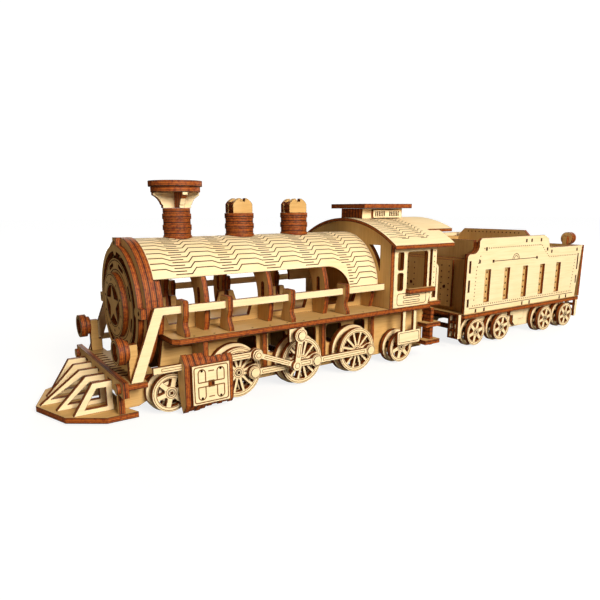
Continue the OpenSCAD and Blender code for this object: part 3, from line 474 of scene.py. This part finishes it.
def wave_cut_tree():
    """Repeats one fine cut in rows and columns and bends the sheet of cuts round an axis along X."""
    tree, given, out = tree_with("wave_cuts_on_a_bent_sheet", [
        ("Columns", "NodeSocketInt"), ("Rows", "NodeSocketInt"), ("Column Step", "NodeSocketFloat"),
        ("Row Step", "NodeSocketFloat"), ("First Row", "NodeSocketFloat"), ("Start", "NodeSocketFloat"),
        ("Radius", "NodeSocketFloat"), ("Axis Height", "NodeSocketFloat"),
        ("Burn", "NodeSocketMaterial")])
    column = add(tree, "GeometryNodeMeshLine", {"mode": "OFFSET"}, Count=given.outputs["Columns"])
    tree.links.new(add(tree, "ShaderNodeCombineXYZ", X=given.outputs["Column Step"]).outputs[0],
                   column.inputs["Offset"])
    tree.links.new(add(tree, "ShaderNodeCombineXYZ", X=given.outputs["Start"],
                       Y=given.outputs["First Row"]).outputs[0], column.inputs["Start Location"])
    row = add(tree, "GeometryNodeMeshLine", {"mode": "OFFSET"}, Count=given.outputs["Rows"])
    tree.links.new(add(tree, "ShaderNodeCombineXYZ", Y=given.outputs["Row Step"]).outputs[0],
                   row.inputs["Offset"])
    columns = add(tree, "GeometryNodeInstanceOnPoints", Points=column.outputs[0],
                  Instance=given.outputs["Mesh"])
    one_row = add(tree, "GeometryNodeRealizeInstances", Geometry=columns.outputs[0])
    rows = add(tree, "GeometryNodeInstanceOnPoints", Points=row.outputs[0], Instance=one_row.outputs[0])
    flat = add(tree, "GeometryNodeRealizeInstances", Geometry=rows.outputs[0])
    place = add(tree, "ShaderNodeSeparateXYZ", Vector=add(tree, "GeometryNodeInputPosition").outputs[0])
    angle = add(tree, "ShaderNodeMath", {"operation": "DIVIDE"}, _0=place.outputs["Y"],
                _1=given.outputs["Radius"]).outputs[0]
    reach = add(tree, "ShaderNodeMath", {"operation": "ADD"}, _0=place.outputs["Z"],
                _1=given.outputs["Radius"]).outputs[0]
    side = add(tree, "ShaderNodeMath", {"operation": "MULTIPLY"}, _1=reach,
               _0=add(tree, "ShaderNodeMath", {"operation": "SINE"}, _0=angle).outputs[0])
    rise = add(tree, "ShaderNodeMath", {"operation": "MULTIPLY"}, _1=reach,
               _0=add(tree, "ShaderNodeMath", {"operation": "COSINE"}, _0=angle).outputs[0])
    up = add(tree, "ShaderNodeMath", {"operation": "ADD"}, _0=rise.outputs[0],
             _1=given.outputs["Axis Height"])
    bent = add(tree, "ShaderNodeCombineXYZ", X=place.outputs["X"], Y=side.outputs[0], Z=up.outputs[0])
    moved = add(tree, "GeometryNodeSetPosition", Geometry=flat.outputs[0], Position=bent.outputs[0])
    burnt = add(tree, "GeometryNodeSetMaterial", Geometry=moved.outputs[0],
                Material=given.outputs["Burn"])
    tree.links.new(burnt.outputs[0], out.inputs[0])
    return tree


def run_tree(name, guide, tree, values):
    """The tree's result on the guide as a plain mesh object; the guide goes."""
    modifier = guide.modifiers.new("made", "NODES")
    modifier.node_group = tree
    for item in tree.interface.items_tree:
        if item.in_out == "INPUT" and item.name in values:
            modifier[item.identifier] = values[item.name]
    guide.update_tag()
    graph = bpy.context.evaluated_depsgraph_get()
    mesh = bpy.data.meshes.new_from_object(guide.evaluated_get(graph))
    mesh.name = name
    bpy.data.objects.remove(guide)
    made = bpy.data.objects.new(name, mesh)
    bpy.context.scene.collection.objects.link(made)
    return made


def guide_lines(lines):
    """Guide lines as loose edges, from lists of points in millimetres."""
    verts = []
    edges = []
    for line in lines:
        first = len(verts)
        verts += [(mm(x), mm(y), 0.0) for x, y in line]
        edges += [(i, i + 1) for i in range(first, len(verts) - 1)]
    mesh = bpy.data.meshes.new("guide")
    mesh.from_pydata(verts, edges, [])
    guide = bpy.data.objects.new("guide", mesh)
    bpy.context.scene.collection.objects.link(guide)
    return guide


# ---------------------------------------------------------------- marks on flat sheets

CHAR = scorched("laser_char", "#1E0D06", "#4A2410")
ENGRAVING = scorched("laser_engraving", "#4E2C12", "#8A5C30")
RIVETS = rivet_tree()
WAVES = wave_cut_tree()


def side_face(sign, reach):
    """A face along the train: drawn in distance from the nose and height; sign is its side."""
    return (Vector((NOSE, sign * reach, 0)), Vector((1, 0, 0)), Vector((0, 0, 1)), Vector((0, sign, 0)))


def cross_face(x, sign):
    """A face across the train at x: drawn in Y and height; it looks along sign times X."""
    return (Vector((x, 0, 0)), Vector((0, 1, 0)), Vector((0, 0, 1)), Vector((sign, 0, 0)))


def top_face(z):
    """A level face that looks up: drawn in distance from the nose and Y."""
    return (Vector((NOSE, 0, z)), Vector((1, 0, 0)), Vector((0, 1, 0)), Vector((0, 0, 1)))


def on_sheet(thing, face):
    """Lays what is drawn in X and Y, and stands proud along Z, on a sheet's face."""
    origin, right, up, out = face
    turn = Matrix((right, up, out)).transposed().to_4x4()
    thing.data.transform(Matrix.Translation(origin) @ turn)
    outward(thing.data)


def marks(name, body, face, lines=(), dots=(), patches=(), width=0.45, burn=CHAR):
    """Engraved lines, rows of dots and burnt patches on one face of a sheet, in millimetres.

    lines are lists of points; dots are (lines, spacing, radius); patches are closed outlines.
    """
    parts = []
    verts, faces = [], []
    for line in lines:
        v, f = strip([(mm(x), mm(y)) for x, y in line], mm(width))
        faces += [tuple(i + len(verts) for i in quad) for quad in f]
        verts += v
    for outline in patches:
        faces.append(tuple(range(len(verts), len(verts) + len(outline))))
        verts += [(mm(x), mm(y)) for x, y in outline]
    if verts:
        parts.append(mesh_object(name + "_lines", *thicken(verts, faces, MARK), burn))
    for i, (rows, spacing, radius) in enumerate(dots):
        values = {"Spacing": mm(spacing), "Radius": mm(radius), "Height": 2 * MARK, "Sides": 8,
                  "Burn": CHAR}
        parts.append(run_tree(f"{name}_dots_{i}", guide_lines(rows), RIVETS, values))
    for part in parts:
        on_sheet(part, face)
        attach(part, body)


def from_nose(x):
    """A place along the train as millimetres from the nose."""
    return (x - NOSE) * 1000


def box_outline(x0, y0, x1, y1):
    return [(x0, y0), (x1, y0), (x1, y1), (x0, y1)]


def circle_line(x, y, r):
    return arc(x, y, r, 0, 360, 28)


def groove(a, b, back, half):
    """Closed outline of a long groove between two eyes, that stops back from each."""
    along = (Vector(b) - Vector(a)).normalized()
    side = Vector((-along.y, along.x)) * half
    start, stop = Vector(a) + along * back, Vector(b) - along * back
    return [tuple(p) for p in (start + side, stop + side, stop - side, start - side, start + side)]


# ---------------------------------------------------------------- the bent skins

# One wave cut of the skin: level, up a ramp, level, down a step, level
CUT_LEVEL = 9.0
CUT_RAMP = 3.2
CUT_RISE = 3.4
CUT_TOP = 10.2
CUT_STEP = 3.6
CUT_DROP = 1.7
CUT_TAIL = 7.5
CUT_PITCH = 27.1
ROW_PITCH = 3.55
CUT_WIDTH = 0.58
FIRST_CUT = 12.6

# The skin's lower edge, as an angle from its ridge, and its skirt, from the smokebox
SKIN_HALF = 63
SKIRT_START = mm(109.4)
SKIRT_CURVE = BARREL_R * math.cos(math.radians(SKIN_HALF)) - mm(1)


def wave_cut(scale=1.0):
    """One fine cut as a flat line, in millimetres from its start."""
    run = [CUT_LEVEL, CUT_RAMP, CUT_TOP, CUT_STEP, CUT_TAIL]
    rise = [0, CUT_RISE, 0, -CUT_DROP, 0]
    points = [(0.0, 0.0)]
    for dx, dy in zip(run, rise):
        points.append((points[-1][0] + dx * scale, points[-1][1] + dy * scale))
    return points


def cut_guide(points, width):
    verts, faces = strip([(mm(x), mm(y)) for x, y in points], mm(width))
    return mesh_object("guide", *thicken(verts, faces, MARK), CHAR)


def keep_between(thing, start, stop):
    """Cuts the piece off square at two places along the train and closes the cut ends."""
    work = bmesh.new()
    work.from_mesh(thing.data)
    for place, out in ((start, -1), (stop, 1)):
        bmesh.ops.bisect_plane(work, geom=work.verts[:] + work.edges[:] + work.faces[:], dist=1e-7,
                               plane_co=(place, 0, 0), plane_no=(out, 0, 0), clear_outer=True)
        bmesh.ops.holes_fill(work, edges=[e for e in work.edges if e.is_boundary], sides=8)
    work.to_mesh(thing.data)
    work.free()


def rows_of_cuts(name, sign, size, rows, first, step, start, ends, axis):
    """Rows of wave cuts on one side of a bent sheet; axis is its radius and its axis's height."""
    scale, width = size
    # a cut climbs towards the ridge on its way to the rear
    guide = cut_guide([(x, -sign * y) for x, y in wave_cut(scale)], width)
    length = (ends[1] - start) * 1000
    values = {
        "Columns": int(length / (CUT_PITCH * scale)) + 2, "Rows": rows,
        "Column Step": mm(CUT_PITCH * scale), "Row Step": sign * mm(step),
        "First Row": sign * mm(first), "Start": start, "Radius": axis[0], "Axis Height": axis[1],
        "Burn": CHAR}
    cuts = run_tree(name, guide, WAVES, values)
    keep_between(cuts, *ends)
    outward(cuts.data)
    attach(cuts, "locomotive")


def boiler_cuts():
    """Wave cuts all over the boiler's skin, and more rows on the skirt before the cab."""
    start, stop = low("boiler_skin").x, high("boiler_skin").x
    axis = (BARREL_R, BARREL_Z)
    first = 4.6
    arch = math.radians(SKIN_HALF) * BARREL_R * 1000
    rows = int((arch - 1 - first) / ROW_PITCH) + 1
    skirt = math.radians(90) * BARREL_R * 1000
    skirt_first = first + rows * ROW_PITCH
    skirt_rows = int((skirt - 1 - skirt_first) / ROW_PITCH) + 1
    phase = start - mm(CUT_PITCH - FIRST_CUT)
    for side, sign in (("left", -1), ("right", 1)):
        rows_of_cuts(f"boiler_skin_cuts_{side}", sign, (1.0, CUT_WIDTH), rows, first, ROW_PITCH, phase,
                     (start + mm(0.6), stop - mm(0.8)), axis)
        rows_of_cuts(f"boiler_skirt_cuts_{side}", sign, (1.0, CUT_WIDTH), skirt_rows, skirt_first,
                     ROW_PITCH, phase, (start + SKIRT_START + SKIRT_CURVE, stop - mm(0.8)), axis)


def roof_cuts():
    """Smaller wave cuts over the cab's roof, clear of its slits and its longer middle part."""
    start = low("cab_roof").x
    stop = high("cab_roof").x - mm(27)
    for side, sign in (("left", -1), ("right", 1)):
        rows_of_cuts(f"roof_cuts_{side}", sign, (0.62, 0.45), 15, 4.0, 3.1, start - mm(6),
                     (start + mm(1.6), stop - mm(5)), (ROOF_R, ROOF_TOP - ROOF_R))


# ---------------------------------------------------------------- marks on wheels and rods

# The wheels' outer faces, which the axle ends stand out of
AXLE_END = mm(0.4)
WHEEL_OUT = high("truck_wheels").y - AXLE_END


def wheel_marks():
    """Burnt rings round each rim and hub, and the square end of the axle."""
    names = [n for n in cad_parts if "wheels" in n or "drivers" in n]
    for name in names:
        x = from_nose((low(name).x + high(name).x) / 2)
        r = (high(name).z - low(name).z) / 2 * 1000
        z = (high(name).z + low(name).z) / 2 * 1000
        face_r = r - 1.2
        cap = box_outline(x - 0.9, z - 0.9, x + 0.9, z + 0.9)
        for side, sign in (("left", -1), ("right", 1)):
            marks(f"{name}_rim_{side}", name, side_face(sign, WHEEL_OUT),
                  lines=[circle_line(x, z, face_r - 0.75), circle_line(x, z, face_r - 2.1),
                         circle_line(x, z, 2.9)], width=0.34, burn=ENGRAVING)
            marks(f"{name}_axle_end_{side}", name, side_face(sign, WHEEL_OUT + AXLE_END),
                  patches=[cap], lines=[circle_line(x, z, 1.6)], width=0.3)


def rod_marks():
    """Rings round the eyes of the rods and a long groove between them."""
    for side, sign in (("left", -1), ("right", 1)):
        rod = f"{side}_coupling_rod"
        reach = high(rod).y if sign > 0 else -low(rod).y
        eye = (high(rod).z - low(rod).z) / 2 * 1000
        z = (high(rod).z + low(rod).z) / 2 * 1000
        ends = (from_nose(low(rod).x) + eye, from_nose(high(rod).x) - eye)
        mid = sum(ends) / 2
        eyes = [(x, z) for x in (ends[0], mid, ends[1])]
        marks(f"{rod}_lines", rod, side_face(sign, reach), width=0.34, burn=ENGRAVING,
              lines=[circle_line(*p, eye - 0.55) for p in eyes]
              + [groove(a, b, eye + 0.9, 0.75) for a, b in zip(eyes, eyes[1:])])

        bar = f"{side}_piston_bar"
        link = f"{side}_link"
        lever = f"{side}_lever"
        cross = (from_nose(low(link).x) + 3.2, high(link).z * 1000 - 3.2)
        foot = (from_nose(high(link).x) - 3.4, low(link).z * 1000 + 3.4)
        top = (from_nose(high(lever).x) - 4.1, high(lever).z * 1000 - 4.1)
        bar_face = abs(high(link).y if sign > 0 else low(link).y) - THIN - mm(0.2)
        marks(f"{bar}_lines", bar, side_face(sign, bar_face), width=0.34, burn=ENGRAVING,
              lines=[groove((from_nose(low(bar).x), cross[1]), cross, 4.2, 0.7)])
        link_face = abs(high(link).y if sign > 0 else low(link).y)
        marks(f"{link}_lines", link, side_face(sign, link_face), width=0.32, burn=ENGRAVING,
              lines=[groove(cross, foot, 4.6, 0.55), circle_line(*foot, 2.8)])
        marks(f"{bar}_pin_ring", bar, side_face(sign, link_face + mm(0.9)), width=0.34, burn=ENGRAVING,
              lines=[circle_line(*cross, 1.4)])
        lever_face = abs(high(lever).y if sign > 0 else low(lever).y)
        marks(f"{lever}_lines", lever, side_face(sign, lever_face), width=0.34, burn=ENGRAVING,
              lines=[groove(top, foot, 5.0, 0.75), circle_line(*top, 3.2), circle_line(*foot, 1.6)])


# ---------------------------------------------------------------- marks on the front end

def front_marks():
    """Rings on the door, the lamps and the smokebox, and dots on the cowcatcher and the running board.
    """
    door_x = low("smokebox_door").x
    door_r = (high("smokebox_door").y - low("smokebox_door").y) / 2 * 1000
    z = BARREL_Z * 1000
    marks("door_rings", "locomotive", cross_face(door_x, -1), width=0.4,
          lines=[circle_line(0, z, door_r - 0.9), circle_line(0, z, door_r - 5.8)])
    front_x = low("smokebox_front").x
    marks("front_disc_rings", "locomotive", cross_face(front_x, -1), width=0.5,
          lines=[circle_line(0, z, door_r + 1.6), circle_line(0, z, door_r + 6.6)])
    plate = high("cowcatcher_plate")
    feet = [[(5.2 + 5.4 * abs(k), 13 * k + 3.6), (24.2, 13 * k + 3.6)] for k in (-2, -1, 0, 1)]
    marks("cowcatcher_plate_dots", "locomotive", top_face(plate.z), dots=[(feet, 6.2, 0.5)])
    lamp = low("headlamps")
    for side, y in (("left", lamp.y + mm(6.6)), ("right", high("headlamps").y - mm(6.6))):
        lamp_z = (high("headlamps").z + lamp.z) / 2 * 1000
        marks(f"headlamp_rings_{side}", "locomotive", cross_face(lamp.x, -1), width=0.35,
              lines=[circle_line(y * 1000, lamp_z, 5.6)])
    board = high("running_board")
    x0, x1 = from_nose(low("running_board").x), from_nose(board.x)
    edge = board.y * 1000 - 3
    marks("board_dots", "locomotive", top_face(board.z),
          dots=[([[(x0 + 12, s * edge), (x1 - 8, s * edge)] for s in (-1, 1)], 10.5, 0.6)])


def cylinder_marks():
    """Four hooked pipes joined in an H on each cylinder's cover."""
    cover_low, cover_high = low("cylinder_covers"), high("cylinder_covers")
    cx = from_nose((cover_low.x + cover_high.x) / 2)
    cz = (cover_low.z + cover_high.z) / 2 * 1000
    pipes, pins = [], []
    for sx in (-1, 1):
        for sz in (-1, 1):
            hook = arc(5.2, 6.0, 2.0, 0, 180, 8)
            path = [(7.2, 1.2)] + [(7.2, 5.0)] + hook + [(3.2, 1.2)]
            pipes.append([(cx + sx * x, cz + sz * z) for x, z in path])
            pins.append([(cx + sx * 5.2, cz + sz * 7.2), (cx + sx * 5.2, cz + sz * 7.3)])
    rungs = [[(cx - 7.2, cz + s * 1.2), (cx + 7.2, cz + s * 1.2)] for s in (-1, 1)]
    ticks = [[(cx - 1.6, cz + s * 6.8), (cx + 1.6, cz + s * 6.8)] for s in (-1, 1)]
    rim = rounded_box(cx - 9.3, cz - 9.3, cx + 9.3, cz + 9.3, 1.2)
    for side, sign in (("left", -1), ("right", 1)):
        marks(f"cylinder_cover_lines_{side}", "locomotive", side_face(sign, cover_high.y),
              lines=[*pipes, *rungs, *ticks, rim], dots=[(pins, 1.0, 0.7)], width=0.6, burn=ENGRAVING)


# ---------------------------------------------------------------- marks on the cab

def cab_marks():
    """The engraved frame and two slots below the cab's windows, and dots up its posts."""
    x0 = from_nose(low("cab_side_walls").x)
    x1 = from_nose(high("cab_side_walls").x)
    z0, z1 = low("cab_side_walls").z * 1000, high("cab_side_walls").z * 1000
    frame_line = rounded_box(x0 + 3.4, z0 + 1.4, x0 + 30, z0 + 9.0, 2)
    slots = [rounded_box(x0 + 9, z, x0 + 24, z + 1.4, 0.6) for z in (z0 + 2.8, z0 + 5.9)]
    head = [(x0 + 3, z1 - 2.6), (x1 - 3, z1 - 2.6)]
    post = [(x1 - 2.2, z0 + 14), (x1 - 2.2, z1 - 6)]
    for side, sign in (("left", -1), ("right", 1)):
        marks(f"cab_panel_lines_{side}", "locomotive", side_face(sign, high("cab_side_walls").y),
              lines=[frame_line, *slots], dots=[([head, post], 3.4, 0.42)], width=0.42)
    hang_x0, hang_x1 = from_nose(low("cab_side_hangers").x), from_nose(high("cab_side_hangers").x)
    hang_z = (low("cab_side_hangers").z * 1000, low("cab_side_hangers").z * 1000 + 9)
    for side, sign in (("left", -1), ("right", 1)):
        marks(f"hanger_lines_{side}", "locomotive", side_face(sign, high("cab_side_hangers").y),
              lines=[rounded_box(hang_x0 + 1.3, hang_z[0] + 1.3, hang_x1 - 1.3, hang_z[1] - 1.3, 0.9)],
              width=0.36)


def lid_marks():
    """A border of burnt dots on the ventilator's lid."""
    a, b = low("ventilator_lid"), high("ventilator_lid")
    x0, x1 = from_nose(a.x) + 2.2, from_nose(b.x) - 2.2
    y = b.y * 1000 - 2.2
    border = [(x0, -y), (x1, -y), (x1, y), (x0, y), (x0, -y)]
    marks("lid_dots", "locomotive", top_face(b.z), dots=[([border], 5.0, 0.5)])


# ---------------------------------------------------------------- marks on the tender

# The side panel's steps, along the train from its front and down from its top
STEP_AT = 12.6
DROP_AT = 94.5
REAR_DOWN = 10.4


def tender_marks():
    """Rivet dots, the ends of tabs and the engraved bar with its half-round sign."""
    a, b = low("tender_side_panels"), high("tender_side_panels")
    x0, x1 = from_nose(a.x), from_nose(b.x)
    z0, z1 = a.z * 1000, b.z * 1000
    rear_z = z1 - REAR_DOWN
    step_x, drop_x = x0 + STEP_AT, x0 + DROP_AT
    border = [(x0 + 5, z0 + 3.8), (x1 - 8, z0 + 3.8)]
    top_row = [(step_x + 6, z1 - 7.5), (drop_x - 3, z1 - 7.5), (drop_x + 4, z1 - 14),
               (drop_x + 9, rear_z - 7.5), (x1 - 9, rear_z - 7.5)]
    end_row = [(x1 - 9.5, rear_z - 12), (x1 - 12.5, z0 + 9)]
    front_row = [(x0 + 10, z0 + 10), (x0 + 11, z1 - 22), (x0 + 14.5, z1 - 13)]
    low_row = [(x0 + 9, z0 + 5.6), (x1 - 12, z0 + 5.6)]
    bar = [(x0 + 30, z1 - 17.5), (x0 + 86, z1 - 17.5)]
    sign_arc = arc(x0 + 58, z1 - 17.3, 4.2, 0, 180) + [(x0 + 53.8, z1 - 17.3)]
    inner_arc = arc(x0 + 58, z1 - 17.3, 2.6, 0, 180)
    tab_ends = [box_outline(x - 1, z - 1.3, x + 1, z + 1.3) for x, z in (
        (x0 + 21, z1 - 8), (x0 + 14, z1 - 17), (x0 + 70, z1 - 3.6), (x0 + 77, z1 - 3.6),
        (x0 + 90, z1 - 3.6), (drop_x + 5.5, z1 - 11.5), (drop_x + 12, rear_z - 3.2),
        (x1 - 8, rear_z - 3.2))]
    floor_tabs = [box_outline(x0 + x, z0 + 0.2, x0 + x + 1.8, z0 + 3.0)
                  for x in (12, 22, 70, 80, 124, 134)]
    front_tabs = [box_outline(x0 + 2.2, z0 + z, x0 + 4.4, z0 + z + h)
                  for z, h in ((5, 6), (16, 9), (30, 9))]
    rear_tabs = [box_outline(x1 - 6.2, z0 + z, x1 - 4.4, z0 + z + h)
                 for z, h in ((12, 7), (24, 14))]
    bar_ends = [box_outline(x - 1.1, y - 1.1, x + 1.1, y + 1.1) for x, y in bar]
    pitch = (x1 - x0 - 35.5) / 5
    columns = []
    for i in range(5):
        x = x0 + 21.4 + i * pitch + 4.6
        columns.append([(x, z0 + 9.6), (x, z0 + 29.2)])
    for side, sign in (("left", -1), ("right", 1)):
        marks(f"tender_marks_{side}", "tender", side_face(sign, b.y),
              lines=[border, bar, sign_arc, inner_arc], width=0.5,
              dots=[([top_row, front_row, end_row, low_row], 2.6, 0.5)],
              patches=tab_ends + floor_tabs + front_tabs + rear_tabs + bar_ends)
        marks(f"tender_slot_dots_{side}", "tender", side_face(sign, high("tender_inner_panels").y),
              dots=[(columns, 4.8, 0.85)])


def cross_wall_marks():
    """Dots along the top of the coal wall and down the edges of the tender's front panel."""
    wall_top = high("tender_cross_walls").z * 1000
    wall_low = low("tender_cross_walls").z * 1000
    for name, x, sign in (("front", COAL_WALL, -1), ("rear", COAL_WALL + SHEET, 1)):
        marks(f"coal_wall_dots_{name}", "tender", cross_face(x, sign),
              dots=[([[(-25, wall_top - 2.4), (25, wall_top - 2.4)]], 3.6, 0.6)])
    columns = [[(y, wall_low + 7), (y, wall_low + 34)] for y in (-21, -14, 14, 21)]
    marks("tender_panel_dots", "tender", cross_face(low("tender_cross_walls").x, -1),
          dots=[(columns, 4.5, 0.6)])
    rear_x = low("tender_rear_wall").x + SHEET
    frame_line = rounded_box(-34, wall_low + 5, 34, wall_low + 36, 3)
    marks("tender_rear_lines", "tender", cross_face(rear_x, 1), width=0.5, lines=[frame_line],
          dots=[([[(-29, wall_low + z), (29, wall_low + z)] for z in (9, 32)], 4.0, 0.55)])


# ---------------------------------------------------------------- light, floor and camera

def studio():
    """White paper, a broad key light on the near side, weaker ones round it, and a white room."""
    bpy.ops.mesh.primitive_plane_add(size=12)
    floor = bpy.context.object
    floor.name = "paper_floor"
    floor.data.materials.append(backdrop_white())
    world = bpy.data.worlds.new("white_room")
    world.use_nodes = True
    bpy.context.scene.world = world
    tree = world.node_tree
    sky = tree.nodes["Background"]
    sky.inputs["Color"].default_value = linear("#FFFFFF")
    # the far white wall is bright, but sends less light than it shows, as it stands far off
    ray = add(tree, "ShaderNodeLightPath")
    glow = add(tree, "ShaderNodeMapRange", Value=ray.outputs["Is Camera Ray"])
    glow.inputs["To Min"].default_value = ROOM_LIGHT
    glow.inputs["To Max"].default_value = 1.05
    tree.links.new(glow.outputs[0], sky.inputs["Strength"])
    soft_box("key", Vector((-0.05, -1.15, 0.62)), Vector((0.0, 0.0, 0.04)), 0.5, KEY_POWER, "#FFF8EA")
    soft_box("nose_fill", Vector((-1.2, -0.25, 0.35)), Vector((-0.1, 0.0, 0.05)), 0.5, FILL_POWER,
             "#FFF2E0")
    soft_box("far_side", Vector((0.35, 1.25, 0.45)), Vector((0.0, 0.0, 0.05)), 0.7, FAR_POWER,
             "#FFF8EA")
    soft_box("tail", Vector((1.25, 0.25, 0.4)), Vector((0.2, 0.0, 0.05)), 0.5, TAIL_POWER, "#FFF8EA")
    soft_box("top", Vector((0.20, 0.15, 1.2)), Vector((0.0, 0.0, 0.0)), 0.8, TOP_POWER, "#FFFFFF")


def soft_box(name, place, aim, size, power, colour):
    data = bpy.data.lights.new(name, "AREA")
    data.shape = "SQUARE"
    data.size = size
    data.energy = power
    data.color = linear(colour)[:3]
    lamp = bpy.data.objects.new(name, data)
    lamp.location = place
    lamp.rotation_euler = (aim - place).to_track_quat("-Z", "Y").to_euler()
    bpy.context.scene.collection.objects.link(lamp)


def camera():
    """A three-quarter view from the front left, a little above the model."""
    data = bpy.data.cameras.new("view")
    data.sensor_width = 36
    data.lens = 32.23
    data.shift_x = 0.011
    data.shift_y = 0.050
    data.clip_start = 0.01
    eye = bpy.data.objects.new("view", data)
    turn, dip, roll = math.radians(34.07), math.radians(12.76), math.radians(-0.19)
    ahead = Vector((math.sin(turn) * math.cos(dip), math.cos(turn) * math.cos(dip), -math.sin(dip)))
    eye.location = (NOSE - mm(36.3), mm(-290.7), mm(103))
    eye.rotation_mode = "QUATERNION"
    facing_on = ahead.to_track_quat("-Z", "Y")
    eye.rotation_quaternion = facing_on @ Matrix.Rotation(roll, 4, "Z").to_quaternion()
    bpy.context.scene.collection.objects.link(eye)
    bpy.context.scene.camera = eye


camera()
studio()
bpy.context.scene.view_settings.view_transform = "Standard"
paint_all_sheets()
boiler_cuts()
roof_cuts()
wheel_marks()
rod_marks()
front_marks()
cylinder_marks()
cab_marks()
lid_marks()
tender_marks()
cross_wall_marks()
